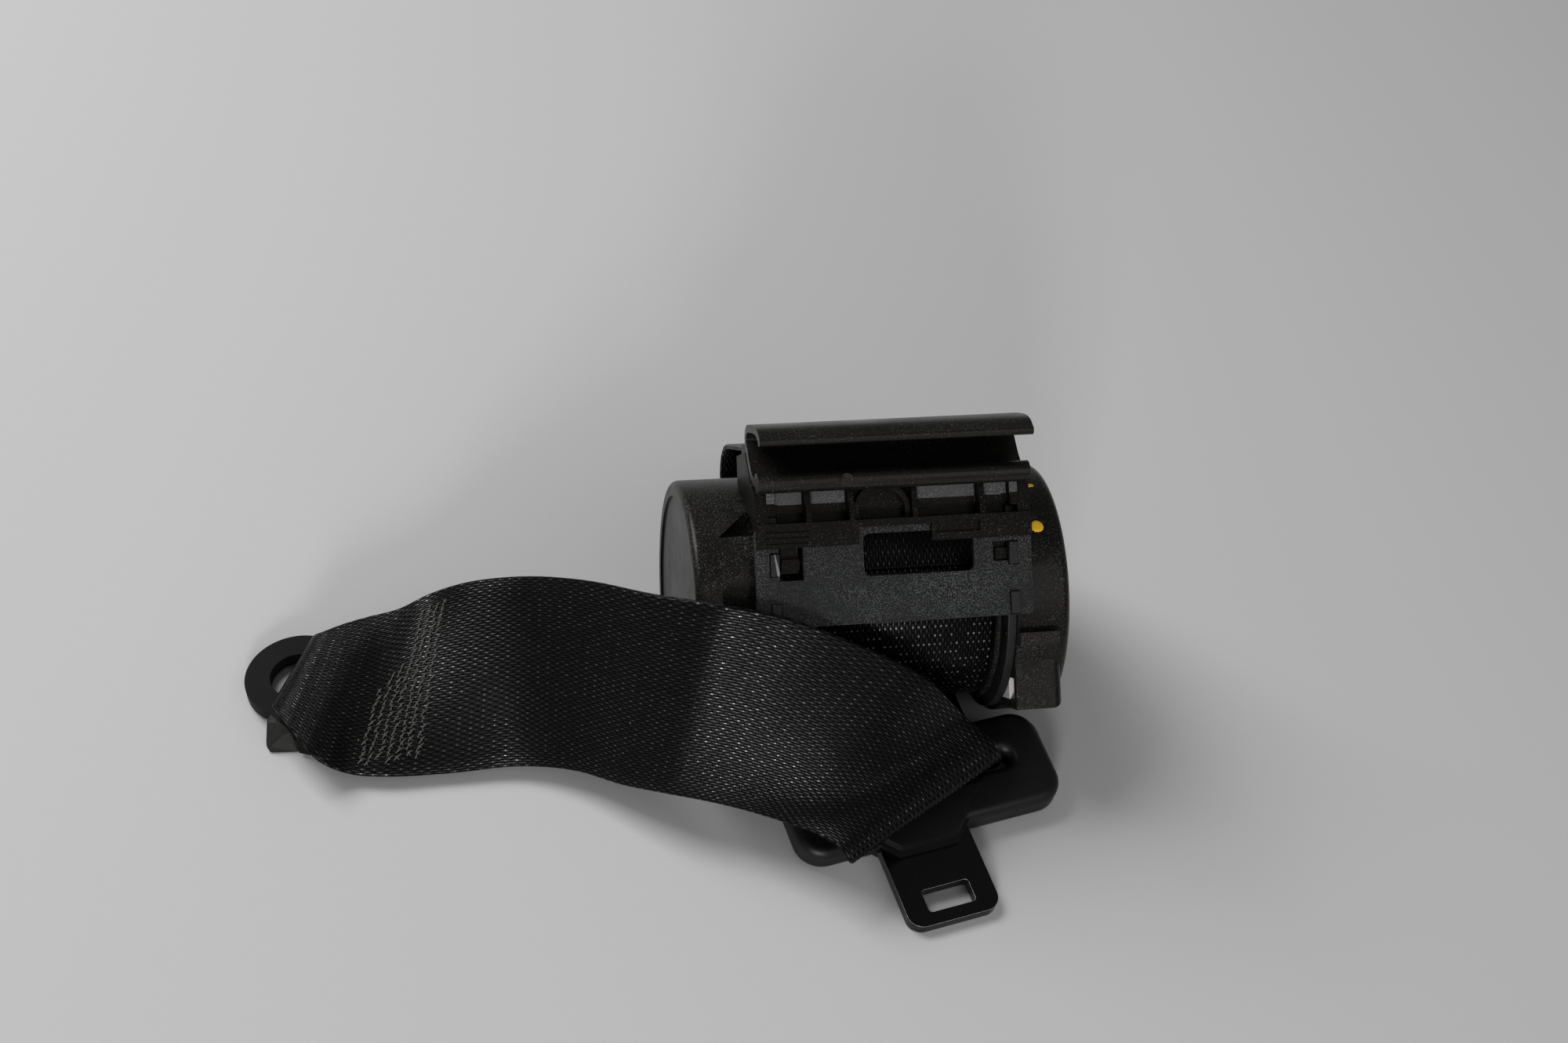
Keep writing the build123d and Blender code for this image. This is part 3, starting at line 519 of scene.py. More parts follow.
class Finish(Enum):
    """The finish of each kind of piece. Numbers without a name are the roughness and the metallic share."""

    # The webbing's base colour holds faint painted glints and painted shade between its yarns
    WEBBING = Weave("webbing", grey(0.0034, (1.0, 1.0, 0.98)))
    # The wound webbing is a copy of the webbing with a darker base colour and a painted glint fifteen times
    # brighter on its crowns
    WOUND_PAINTED_GLINT = Weave("wound_webbing_painted_glint", grey(0.0020, (1.0, 1.0, 0.98)), along=2.2 * MM, painted_glint=0.24, weak=0.10)
    TIE_PLATE = Grained("phosphated_plate", grey(0.0050, (0.93, 1.0, 1.0)), grey(0.072, (0.96, 1.0, 1.0)),
                        0.48, 0.1, grain=3000.0, grain_depth=0.04 * MM, flecks=0.52, specular=0.25)
    FRAME = Grained("coated_steel", grey(0.02), grey(0.1), 0.42, 0.3)
    GUIDE = Grained("guide_moulding", grey(0.0030, (1.08, 1.0, 0.86)), grey(0.075), 0.40, flecks=0.65,
                    specular=0.10, gloss=WARM)
    HOOD = Grained("hood_moulding", grey(0.0055, (1.05, 1.0, 0.90)), grey(0.10), 0.30, flecks=0.65,
                   specular=0.26, gloss=WARM)
    CAP = Grained("cap_moulding", grey(0.0032, (1.05, 1.0, 0.92)), grey(0.095, (1.0, 1.0, 0.95)), 0.33,
                  grain=3400.0, grain_depth=0.035 * MM, flecks=0.60, specular=0.22, gloss=WARM)
    TONGUE_COVER = Grained("tongue_moulding", grey(0.004), grey(0.05), 0.42, flecks=0.72, specular=0.3)
    LABEL = Grained("label_paper", grey(0.075), grey(0.17), 0.6, grain=2600.0, flecks=0.55)
    BRIGHT_STEEL = Plain("bright_steel", grey(0.55), 0.3, 1.0)
    SHEARED_STEEL = Plain("sheared_steel", grey(0.22), 0.5, 1.0)
    SPRING_STEEL = Plain("spring_steel", grey(0.30, (0.9, 1.0, 1.2)), 0.35, 1.0)
    ACETAL = Plain("white_acetal", grey(0.65, (1.0, 1.0, 0.95)), 0.4)
    # The blade's chrome face is painted near-black and not metallic, a painted dark reflection; its rounded
    # rim keeps bright steel
    BLADE_PAINTED_DARK = Grained("blade_painted_dark_reflection", grey(0.0015), grey(0.02), 0.12, 0.0, grain_depth=0.01 * MM, flecks=0.7,
                    specular=0.28)
    BLADE_RIM = Plain("polished_rim", grey(0.85), 0.30, 1.0)
    ANCHOR = Grained("anchor_zinc", grey(0.0030, (1.0, 1.02, 0.90)), grey(0.03), 0.46, flecks=0.70,
                     specular=0.07)
    LUG = Grained("lug_zinc", grey(0.016, (1.0, 1.02, 0.88)), grey(0.10), 0.5, flecks=0.66, specular=0.15)
    THREAD = Plain("thread", grey(0.075, (1.0, 0.96, 0.84)), 0.55)
    PAINT = Plain("yellow_paint", (0.95, 0.56, 0.02, 1.0), 0.45)
    TABLE = Plain("table", grey(0.50), 0.9)

    @cached_property
    def material(self) -> bpy.types.Material:
        """The finish's material, made at its first use."""
        return self.value.build()


def paint(obj: bpy.types.Object, finish: Finish) -> None:
    """Gives an object one finish."""
    obj.data.materials.clear()
    obj.data.materials.append(finish.material)


def link(name: str, data: bpy.types.ID) -> bpy.types.Object:
    """Puts a mesh, a lamp or a camera in the scene.

    Args:
        name: The object's name.
        data: What it shows.

    Returns:
        The object.
    """
    obj = bpy.data.objects.new(name, data)
    bpy.context.scene.collection.objects.link(obj)
    return obj


def round_edges(obj: bpy.types.Object, width: float, segments: int, angle: float) -> bpy.types.Modifier:
    """Rounds an object's sharp edges.

    Args:
        obj: The object.
        width: Width of the rounding, in millimetres.
        segments: Faces across the rounding.
        angle: Degrees from which an edge is sharp.

    Returns:
        The rounding's modifier.
    """
    bevel = obj.modifiers.new("edges", "BEVEL")
    bevel.width = width * MM
    bevel.segments = segments
    bevel.limit_method = "ANGLE"
    bevel.angle_limit = math.radians(angle)
    return bevel


def new_piece(name: str, finish: Finish, vertices: list[Vector], faces: list[Face],
              uvs: list[Pair] | None = None, smooth: bool = True) -> bpy.types.Object:
    """A piece from vertices and faces.

    Args:
        name: The piece's name.
        finish: Its finish.
        vertices: Points in metres, in the row frame.
        faces: Vertex numbers of each face.
        uvs: For webbing, millimetres across and along it at each corner of each face.
        smooth: Whether it is shaded smooth.

    Returns:
        The piece.
    """
    mesh = bpy.data.meshes.new(name)
    mesh.from_pydata([tuple(v) for v in vertices], [], faces)
    mesh.validate()
    if smooth:
        mesh.polygons.foreach_set("use_smooth", [True] * len(mesh.polygons))
    if uvs:
        layer = mesh.uv_layers.new(name="weave")
        for corner, (across, along) in zip(layer.data, uvs):
            corner.uv = (across * MM, along * MM)
    piece = link(name, mesh)
    paint(piece, finish)
    return piece


def tube_faces(rings: int, sides: int, start: int = 0) -> list[Face]:
    """The faces of a closed tube through rings of vertices.

    Args:
        rings: Number of rings.
        sides: Vertices in a ring.
        start: Number of the first vertex.

    Returns:
        The faces round the tube, ring after ring, and then those of its two ends.
    """
    faces = []
    for ring in range(start, start + (rings - 1) * sides, sides):
        for side in range(sides):
            a, b = ring + side, ring + (side + 1) % sides
            faces.append((a, b, b + sides, a + sides))
    last = start + (rings - 1) * sides
    faces.append(tuple(start + side for side in reversed(range(sides))))
    faces.append(tuple(last + side for side in range(sides)))
    return faces


@dataclass(frozen=True)
class Dress:
    """The finish of a CAD node and the rounding of its sharp edges.

    Edge is the rounding's width in millimetres, 0 for none, segments is how many faces it has across,
    and rim is its own finish. Points closer than weld, in millimetres, become one. Sharp is the least
    angle, in degrees, of an edge that is rounded.
    """

    node: str
    finish: Finish
    edge: float = 0.0
    rim: Finish | None = None
    weld: float = 0.002
    segments: int = 2
    sharp: float = 35.0

    def put_on(self, nodes: Nodes) -> bpy.types.Object:
        """Dresses the node.

        Args:
            nodes: The CAD nodes by name.

        Returns:
            The node.
        """
        obj = nodes[self.node]
        paint(obj, self.finish)
        if self.edge:
            self.soften(obj)
        return obj

    def soften(self, obj: bpy.types.Object) -> None:
        """Rounds the node's sharp edges a little.

        Args:
            obj: The node.
        """
        weld = obj.modifiers.new("weld", "WELD")
        weld.merge_threshold = self.weld * MM
        bevel = round_edges(obj, self.edge, self.segments, self.sharp)
        bevel.use_clamp_overlap = True
        if self.rim:
            obj.data.materials.append(self.rim.material)
            bevel.material = 1
        normal = obj.modifiers.new("shading", "WEIGHTED_NORMAL")
        normal.keep_sharp = False


@dataclass
class Assembly:
    """A sub-assembly: the CAD nodes that it dresses and the pieces that it adds."""

    dress: tuple[Dress, ...] = ()

    def add(self) -> list[bpy.types.Object]:
        """Makes the pieces of the scene alone, which are none here."""
        return []

    def build(self, nodes: Nodes) -> list[bpy.types.Object]:
        """Dresses the CAD nodes, makes the added pieces and gives them all back."""
        return [dress.put_on(nodes) for dress in self.dress] + self.add()


@dataclass
class Mechanism(Assembly):
    """The spool, the lock, the sensor and the return spring inside the retractor."""

    dress: tuple[Dress, ...] = (
        Dress("spool", Finish.CAP), Dress("spring_case", Finish.CAP),
        Dress("return_spring", Finish.SPRING_STEEL),
        *(Dress(node, Finish.BRIGHT_STEEL) for node in ("torsion_bar", "lock_head", "locking_pawl",
                                                        "sensor_ball")),
        *(Dress(node, Finish.ACETAL) for node in ("lock_gear", "spring_arbor", "left_bush", "right_bush",
                                                  "sensor_housing", "sensor_lever")))


@dataclass
class Tongue(Assembly):
    """The tongue: a dark moulded cover and a blade whose chrome face is painted dark for its reflection, with
    bright steel edges.
    """

    dress: tuple[Dress, ...] = (
        Dress("tongue_cover", Finish.TONGUE_COVER),
        # The blade's face carries a painted dark reflection in place of its chrome
        Dress("tongue_plate", Finish.BLADE_PAINTED_DARK, 0.5, Finish.BLADE_RIM))


class Line(NamedTuple):
    """A line across the webbing in the belt's millimetres, and the webbing's thickness there."""

    left: Vector
    right: Vector
    thickness: float

    def middle_to(self, other: "Line") -> float:
        """The distance between the middles of two cross lines."""
        return ((other.left + other.right) - (self.left + self.right)).length / 2

    def towards(self, other: "Line", share: float) -> "Line":
        """The cross line at a share of the way to another one."""
        return Line(self.left.lerp(other.left, share), self.right.lerp(other.right, share), other.thickness)


@dataclass
class Strip:
    """The webbing as one strip that runs through cross lines, from the roll to its doubled end.

    Lengths are in millimetres and angles in degrees.
    """

    width: float = WEBBING_WIDTH
    thickness: float = 1.2
    # Room between the roll and the strip that leaves it
    play: float = 0.3
    # Depth and height of the guide's rear edge in the upright retractor, and its radius
    guide_edge: Pair = (-13.5, 30.0)
    guide_edge_radius: float = 3.3
    # Depth and radius of the loop behind the retractor, which lies on the table
    rear_loop: float = 51.3
    rear_loop_radius: float = 10.0
    # Degrees from one cross line to the next in a turn, and millimetres on a straight stretch
    turn_step: float = 9.0
    straight_step: float = 6.0
    # Under the retractor: x and y of each cross line's middle, and its yaw
    under_retractor: tuple[Spot, ...] = (
        (0.0, 40.0, 0.0), (0.0, 34.0, 0.0), (-0.4, 24.0, -1.0), (-0.6, 12.0, 0.0), (-0.4, 0.0, 2.0),
        (0.2, -11.0, 6.0))
    # The tongue's bar: x and y, yaw and height
    tongue_place: Pair = (4.1, -33.2)
    tongue_yaw: float = 11.5
    bar_height: float = 6.1
    # Cross lines behind the bar, and the angles of those round it
    behind_bar: Pair = (14.0, 6.0)
    bar_turn: tuple[float, ...] = (-90.0, -115.0, -135.0, -155.0, -180.0)
    # From the bar to the fold: heights at the left and the right, and how far in front of the bar's
    # turn they lie. The right edge lies further in.
    to_fold: tuple[Four, ...] = (
        (9.0, 9.0, 0.0, 0.0), (11.3, 11.0, 0.8, 0.6), (12.5, 12.2, 3.5, 1.6), (13.0, 12.8, 12.0, 2.3),
        (13.2, 13.0, 19.2, 2.9))
    right_inset: float = 2.2
    # The free run from the fold to the stitching: front edge and back edge
    free_run: Edges = (
        ((-14.4, -64.2, 15.4), (25.6, -38.8, 15.8)), ((-15.6, -62.4, 17.0), (24.2, -36.8, 18.0)),
        ((-20.0, -57.5, 16.6), (18.0, -32.5, 22.0)), ((-29.0, -51.0, 14.8), (6.0, -32.4, 38.0)),
        ((-38.0, -46.0, 13.6), (-12.0, -28.6, 48.0)), ((-45.0, -43.0, 13.0), (-27.0, -24.4, 53.0)),
        ((-52.0, -40.0, 12.0), (-40.0, -21.0, 54.0)), ((-60.0, -35.0, 9.0), (-53.0, -13.0, 49.0)),
        ((-70.0, -28.0, 6.0), (-66.0, -1.0, 40.5)), ((-82.0, -24.0, 3.6), (-79.0, 10.0, 30.0)),
        ((-98.0, -24.0, 2.8), (-91.0, 15.0, 23.0)), ((-112.0, -24.0, 3.2), (-99.5, 17.0, 17.0)))
    # The doubled end's upper layer: front edge, back edge and thickness
    doubled_end: tuple[tuple[Spot, Spot, float], ...] = (
        ((-120.2, -22.8, 3.6), (-106.4, 14.5, 15.5), 1.3),
        ((-127.0, -22.1, 8.5), (-113.6, 13.7, 14.0), 1.4),
        ((-131.7, -15.9, 10.0), (-120.5, 12.4, 12.8), 1.5),
        ((-134.6, -10.9, 10.4), (-124.1, 11.4, 11.8), 1.6),
        ((-136.0, -6.7, 8.8), (-125.7, 11.8, 10.0), 1.6))
    # The anchor's eye: x and y, and the yaw from it to its bar
    anchor_place: Pair = (-130.3, 5.2)
    anchor_yaw: float = -26.2
    # Over the anchor's plate: distance from the eye, front, back and height
    over_plate: tuple[Four, ...] = ((1.2, 12.2, -8.6, 6.9), (7.0, 12.2, -11.4, 7.7))
    over_plate_thickness: float = 1.6
    # The loop round the anchor's bar: the bar's distance from the eye and its height, then the loop's
    # radius, angles, width and thickness
    anchor_bar: float = 15.8
    anchor_height: float = 5.7
    anchor_wrap: float = 4.7
    anchor_turn: tuple[float, ...] = (170.0, 190.0, 210.0, 230.0, 250.0, 270.0)
    fold_width: float = 24.4
    fold_thickness: float = 1.8
    # The doubled end's lower layer: front edge and back edge
    lower_layer: Edges = (
        ((-114.5, -17.2, 1.1), (-104.4, 10.5, 4.4)), ((-104.5, -21.5, 1.3), (-95.0, 12.2, 14.6)))
    # The mesh: millimetres from one cut to the next, strips across, and the cut's rounded edge
    sample_step: float = 1.2
    strips: int = 14
    edge_share: float = 0.012
    edge: tuple[Pair, ...] = ((0.997, 0.6), (1.0, 0.0), (0.997, -0.6))
    samples: list[Line] = field(default_factory=list)
    lengths: list[float] = field(default_factory=list)

    def on_tongue(self, x: float, y: float, z: float) -> Vector:
        """A point in the belt's millimetres, from those across the tongue, back and up."""
        c, s = polar(1.0, self.tongue_yaw)
        return Vector((self.tongue_place[0] + x * c - y * s, self.tongue_place[1] + x * s + y * c, z))

    def on_anchor(self, along: float, across: float, z: float) -> Vector:
        """A point on the anchor.

        Args:
            along: Millimetres from its eye along the plate.
            across: Millimetres from its eye across the plate.
            z: Height.

        Returns:
            The point in the belt's millimetres.
        """
        c, s = polar(1.0, self.anchor_yaw)
        return Vector((self.anchor_place[0] + along * c + across * s,
                       self.anchor_place[1] + along * s - across * c, z))

    def flat_line(self, y: float, z: float) -> Line:
        """A cross line square to the retractor, at a depth and a height."""
        half = self.width / 2
        return Line(Vector((-half, y, z)), Vector((half, y, z)), self.thickness)

    def upper_lines(self) -> list[Line]:
        """Cross lines from the roll over the guide's rear wall and round the loop behind.

        Returns:
            The cross lines.
        """
        half = self.thickness / 2
        rounds = [(*laid(0, 0), ROLL_RADIUS + self.play + half),
                  (*laid(*self.guide_edge), self.guide_edge_radius + half),
                  (self.rear_loop, self.rear_loop_radius + half, self.rear_loop_radius)]
        angles = []
        for one, two in zip(rounds, rounds[1:]):
            distance = math.hypot(two[0] - one[0], two[1] - one[1])
            heading = math.degrees(math.atan2(two[1] - one[1], two[0] - one[0]))
            angles.append(heading + math.degrees(math.acos((one[2] - two[2]) / distance)))
        starts = [angles[0], angles[0], angles[1]]
        ends = [angles[0], angles[1], -90.0]
        lines = []
        for (y, z, radius), start, end in zip(rounds, starts, ends):
            steps = max(1, round(abs(end - start) / self.turn_step))
            for step in range(steps + 1):
                dy, dz = polar(radius, start + (end - start) * step / steps)
                lines.append(self.flat_line(y + dy, z + dz))
        return self.spread(lines)

    def spread(self, lines: list[Line]) -> list[Line]:
        """Adds cross lines on long straight stretches.

        Args:
            lines: The cross lines.

        Returns:
            The cross lines with more between them.
        """
        result = [lines[0]]
        for before, after in zip(lines, lines[1:]):
            parts = max(1, round(before.middle_to(after) / self.straight_step))
            result.extend(before.towards(after, part / parts) for part in range(1, parts + 1))
        return result

    def lower_lines(self) -> list[Line]:
        """Cross lines under the retractor and up through the tongue.

        Returns:
            The cross lines.
        """
        half = self.width / 2
        level = self.thickness / 2
        wrap = self.bar_height - level
        lines = []
        for x, y, yaw in self.under_retractor:
            across = Vector((*polar(half, yaw), 0.0))
            middle = Vector((x, y, level))
            lines.append(Line(middle - across, middle + across, self.thickness))
        turn = [(y, level) for y in self.behind_bar]
        for angle in self.bar_turn:
            y, z = polar(wrap, angle)
            turn.append((y, self.bar_height + z))
        for y, z in turn:
            lines.append(Line(self.on_tongue(-half, y, z), self.on_tongue(half, y, z), self.thickness))
        for left_z, right_z, left_front, right_front in self.to_fold:
            lines.append(Line(self.on_tongue(-half, -wrap - left_front, left_z),
                              self.on_tongue(half - self.right_inset, -wrap - right_front, right_z),
                              self.thickness))
        return lines

    def edge_lines(self, edges: Edges) -> list[Line]:
        """Cross lines between points of the front and the back edge."""
        return [Line(Vector(front), Vector(back), self.thickness) for front, back in edges]

    def loop_lines(self) -> list[Line]:
        """Cross lines of the doubled end, over the anchor's plate and round its bar.

        Returns:
            The cross lines.
        """
        half = self.fold_width / 2
        lines = [Line(Vector(front), Vector(back), thick) for front, back, thick in self.doubled_end]
        for along, front, back, height in self.over_plate:
            lines.append(Line(self.on_anchor(along, front, height), self.on_anchor(along, back, height),
                              self.over_plate_thickness))
        for angle in self.anchor_turn:
            along, z = polar(self.anchor_wrap, angle)
            lines.append(Line(self.on_anchor(self.anchor_bar + along, half, self.anchor_height + z),
                              self.on_anchor(self.anchor_bar + along, -half, self.anchor_height + z),
                              self.fold_thickness))
        return lines + self.edge_lines(self.lower_layer)

    def trace(self) -> None:
        """Smooths the cross lines into close samples and measures along the belt."""
        lines = self.upper_lines()[:-1] + self.lower_lines() + self.edge_lines(self.free_run)
        lines += self.loop_lines()
        self.samples = []
        for index in range(len(lines) - 1):
            four = [lines[min(max(index + step, 0), len(lines) - 1)] for step in (-1, 0, 1, 2)]
            start, end = four[1], four[2]
            parts = max(2, round(start.middle_to(end) / self.sample_step))
            for part in range(parts):
                t = part / parts
                self.samples.append(Line(self.smooth([line.left for line in four], t),
                                         self.smooth([line.right for line in four], t),
                                         start.thickness * (1 - t) + end.thickness * t))
        self.samples.append(lines[-1])
        self.lengths = [0.0]
        for before, after in zip(self.samples, self.samples[1:]):
            self.lengths.append(self.lengths[-1] + before.middle_to(after))

    @staticmethod
    def smooth(points: list[Vector], t: float) -> Vector:
        """A point on the smooth curve through four points.

        Args:
            points: Four neighbouring points of one edge.
            t: Place between the second and the third.

        Returns:
            The point.
        """
        p0, p1, p2, p3 = points
        d1, d2, d3 = (math.sqrt(max((b - a).length, LEAST_GAP)) for a, b in zip(points, points[1:]))
        m1 = (p1 - p0) / d1 - (p2 - p0) / (d1 + d2) + (p2 - p1) / d2
        m2 = (p2 - p1) / d2 - (p3 - p1) / (d2 + d3) + (p3 - p2) / d3
        m1 *= d2
        m2 *= d2
        a = 2 * (p1 - p2) + m1 + m2
        b = -3 * (p1 - p2) - 2 * m1 - m2
        return ((a * t + b) * t + m1) * t + p1

    def normal(self, index: int) -> Vector:
        """The upward normal at a sample.

        Args:
            index: The sample's number.

        Returns:
            The normal.
        """
        here = self.samples[index]
        before = self.samples[max(index - 1, 0)]
        after = self.samples[min(index + 1, len(self.samples) - 1)]
        way = (after.left + after.right) - (before.left + before.right)
        return (here.right - here.left).cross(way).normalized()

    def on_belt(self, share: float, length: float, lift: float) -> Vector:
        """A point on the webbing's upper face.

        Args:
            share: From the left edge, 0, to the right edge, 1.
            length: Distance along the belt.
            lift: Height over the face.

        Returns:
            The point in millimetres.
        """
        index = bisect.bisect_right(self.lengths, length) - 1
        index = min(max(index, 0), len(self.samples) - 2)
        t = (length - self.lengths[index]) / max(self.lengths[index + 1] - self.lengths[index], LEAST_STEP)
        points = []
        for number in (index, index + 1):
            left, right, thickness = self.samples[number]
            points.append(left.lerp(right, share) + self.normal(number) * (thickness / 2 + lift))
        return points[0].lerp(points[1], t)

    def profile(self) -> list[Pair]:
        """The webbing's cut: share across and side in half thicknesses.

        Returns:
            Points round the cut.
        """
        flat = 1.0 - 2 * self.edge_share
        shares = [self.edge_share + flat * step / self.strips for step in range(self.strips + 1)]
        top = [(share, 1.0) for share in shares]
        bottom = [(share, -1.0) for share in reversed(shares)]
        return top + list(self.edge) + bottom + [(1 - share, side) for share, side in reversed(self.edge)]

    def build(self) -> bpy.types.Object:
        """Makes the strip's mesh with UVs in metres.

        Returns:
            The strip.
        """
        self.trace()
        profile = self.profile()
        vertices = []
        for index, (left, right, thickness) in enumerate(self.samples):
            up = self.normal(index)
            for share, side in profile:
                vertices.append(row(*(left.lerp(right, share) + up * (thickness / 2 * side))))
        places = [share * self.width for share, _ in profile]
        uvs = []
        for v0, v1 in zip(self.lengths, self.lengths[1:]):
            for u0, u1 in zip(places, places[1:] + places[:1]):
                uvs.extend([(u0, v0), (u1, v0), (u1, v1), (u0, v1)])
        uvs.extend((u, 0.0) for u in reversed(places))
        uvs.extend((u, self.lengths[-1]) for u in places)
        faces = tube_faces(len(self.samples), len(profile))
        return new_piece("webbing_belt", Finish.WEBBING, vertices, faces, uvs)


@dataclass
class Roll:
    """The wound webbing on the spool, in millimetres. Its edge is cut off a little at the outside."""

    radius: float = ROLL_RADIUS
    hub: float = 8.06
    width: float = WEBBING_WIDTH
    edge: float = 0.4
    edge_share: float = 0.012
    steps: int = 144

    def build(self) -> bpy.types.Object:
        """Makes the roll's mesh with wound UVs.

        Returns:
            The roll.
        """
        side = [(0.5, self.hub), (0.5, self.radius - self.edge), (0.5 - self.edge_share, self.radius)]
        ring = [(-share, radius) for share, radius in side] + side[::-1]
        count = len(ring)
        around = 2 * math.pi * self.radius
        vertices, faces, uvs = [], [], []
        for step in range(self.steps):
            for share, radius in ring:
                y, z = polar(radius, 360 * step / self.steps)
                vertices.append(row(share * self.width, y, z + SPOOL_HEIGHT))
        for step in range(self.steps):
            here, there = step * count, (step + 1) % self.steps * count
            v0, v1 = around * step / self.steps, around * (step + 1) / self.steps
            for k in range(count):
                after = (k + 1) % count
                faces.append((here + k, there + k, there + after, here + after))
                u0, u1 = (ring[k][0] + 0.5) * self.width, (ring[after][0] + 0.5) * self.width
                uvs.extend([(u0, v0), (u0, v1), (u1, v1), (u1, v0)])
        return new_piece("webbing_wound", Finish.WOUND_PAINTED_GLINT, vertices, faces, uvs)


@dataclass
class Stitching:
    """Columns of thread that fix the doubled end of the webbing.

    Each long thread has a short one that crosses it. Lengths are in millimetres, and a pair is the
    range of a random draw.
    """

    strip: Strip
    # The first column's place along the belt, the columns' distance, a stitch's length and the
    # thread's radius
    first: float = 354.6
    pitch: float = 1.95
    stitch: float = 1.75
    thread: float = 0.155
    # Where each column starts and ends, as shares of the width
    columns: tuple[Pair, ...] = ((0.09, 0.93), (0.10, 0.92), (0.08, 0.93), (0.07, 0.91), (0.09, 0.62),
                                 (0.05, 0.58), (0.06, 0.50))
    seed: int = 5
    # A long thread: half its length along the belt, the change of that, the change of its place, its
    # length in stitches and its rise
    lean: float = -0.5
    lean_change: Pair = (-0.25, 0.3)
    wander: Pair = (-0.35, 0.35)
    reach: Pair = (0.8, 1.35)
    rise: float = 0.62
    # The thread that crosses it: its shift in stitches, then the same sizes
    cross_shift: Pair = (-0.25, 0.25)
    cross_lean: Pair = (0.15, 0.5)
    cross_reach: Pair = (0.3, 0.6)
    cross_rise: float = 0.74
    # How deep the ends of a thread sit in the webbing, and the thread's mesh
    sunk: float = 0.25
    steps: int = 6
    sides: int = 6
    vertices: list[Vector] = field(default_factory=list)
    faces: list[Face] = field(default_factory=list)

    def strand(self, share: float, place: float, lean: float, reach: float, rise: float) -> None:
        """Adds one thread over the webbing.

        Args:
            share: Its middle, from the left edge, 0, to the right edge, 1.
            place: Its middle along the belt.
            lean: Half its length along the belt.
            reach: Its length across the belt, in stitches.
            rise: How far it rises.
        """
        path = []
        for step in range(self.steps + 1):
            t = step / self.steps
            over = share + (t - 0.5) * self.stitch * reach / self.strip.width
            lift = -self.sunk + rise * math.sin(math.pi * t)
            path.append(self.strip.on_belt(over, place + (t - 0.5) * 2.0 * lean, lift))
        self.tube(path)

    def tube(self, path: list[Vector]) -> None:
        """Adds a round thread along a path.

        Args:
            path: Points in millimetres.
        """
        self.faces.extend(tube_faces(len(path), self.sides, len(self.vertices)))
        for index, point in enumerate(path):
            way = (path[min(index + 1, len(path) - 1)] - path[max(index - 1, 0)]).normalized()
            across = way.orthogonal().normalized()
            over = way.cross(across)
            for side in range(self.sides):
                c, s = polar(self.thread, 360 * side / self.sides)
                self.vertices.append(row(*(point + across * c + over * s)))

    def build(self) -> bpy.types.Object:
        """Makes all the stitches.

        Returns:
            The stitching.
        """
        draw = random.Random(self.seed).uniform
        for number, (low, high) in enumerate(self.columns):
            count = round((high - low) * self.strip.width / self.stitch)
            for index in range(count):
                share = low + (high - low) * (index + 0.5) / count
                lean = self.lean + draw(*self.lean_change)
                place = self.first + number * self.pitch + draw(*self.wander)
                self.strand(share, place, lean, draw(*self.reach), self.rise)
                cross = share + draw(*self.cross_shift) * self.stitch / self.strip.width
                self.strand(cross, place, draw(*self.cross_lean), draw(*self.cross_reach), self.cross_rise)
        return new_piece("stitching", Finish.THREAD, self.vertices, self.faces)


@dataclass
class Webbing(Assembly):
    """The webbing: the laid strip, what is wound on the spool, and the stitching of its end."""

    strip: Strip = field(default_factory=Strip)
    roll: Roll = field(default_factory=Roll)

    def add(self) -> list[bpy.types.Object]:
        """Makes the webbing in place of the CAD model's plain strips.

        Returns:
            The strip, the roll and the stitching.
        """
        belt = self.strip.build()
        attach(belt, Body.ROOT.value)
        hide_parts("webbing_upper_run", "webbing_lower_run", "webbing_arch", "webbing_anchor_loop")
        log.info("webbing_belt is %.1f mm long", self.strip.lengths[-1])
        wound = self.roll.build()
        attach(wound, Body.SPOOL.value)
        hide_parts("webbing_roll")
        stitching = Stitching(self.strip).build()
        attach(stitching, Body.ROOT.value)
        return [belt, wound, stitching]


@dataclass(frozen=True)
class PaintMark:
    """A low oval pad of paint on a cap's round side."""

    name: str
    # Its place: millimetres along the spool's axis, degrees from the upright retractor's rear over its top
    along: float
    angle: float
    # Half its size in millimetres, and its height
    half_along: float
    half_round: float
    lift: float
    # Shares of the size and of the height at each ring of vertices
    rings: tuple[Pair, ...] = ((0.55, 0.92), (0.85, 0.65), (1.0, 0.0), (1.02, -0.6))
    sides: int = 28
    coarse_edge: float = 0.06
    fine_edge: float = 0.04

    def on_cap(self, x: float, angle: float, lift: float) -> Vector:
        """A point over a cap's round side, in metres."""
        return row(x, *laid(*polar(CAP_RADIUS + lift, angle)))

    def build(self) -> bpy.types.Object:
        """Makes the pad with a slightly ragged edge.

        Returns:
            The pad.
        """
        vertices = [self.on_cap(self.along, self.angle, self.lift)]
        for share, height in self.rings:
            for side in range(self.sides):
                c, s = polar(share, 360 * side / self.sides)
                ragged = 1 + self.coarse_edge * math.sin(3 * side) + self.fine_edge * math.sin(7 * side)
                angle = self.angle + math.degrees(self.half_round * s * ragged / CAP_RADIUS)
                vertices.append(self.on_cap(self.along + self.half_along * c * ragged, angle,
                                            self.lift * height))
        faces = []
        for side in range(self.sides):
            after = (side + 1) % self.sides
            faces.append((0, 1 + side, 1 + after))
            for first in range(1, 1 + (len(self.rings) - 1) * self.sides, self.sides):
                a, b = first + side, first + after
                faces.append((a, a + self.sides, b + self.sides, b))
        last = 1 + (len(self.rings) - 1) * self.sides
        faces.append(tuple(last + side for side in reversed(range(self.sides))))
        return new_piece(self.name, Finish.PAINT, vertices, faces)


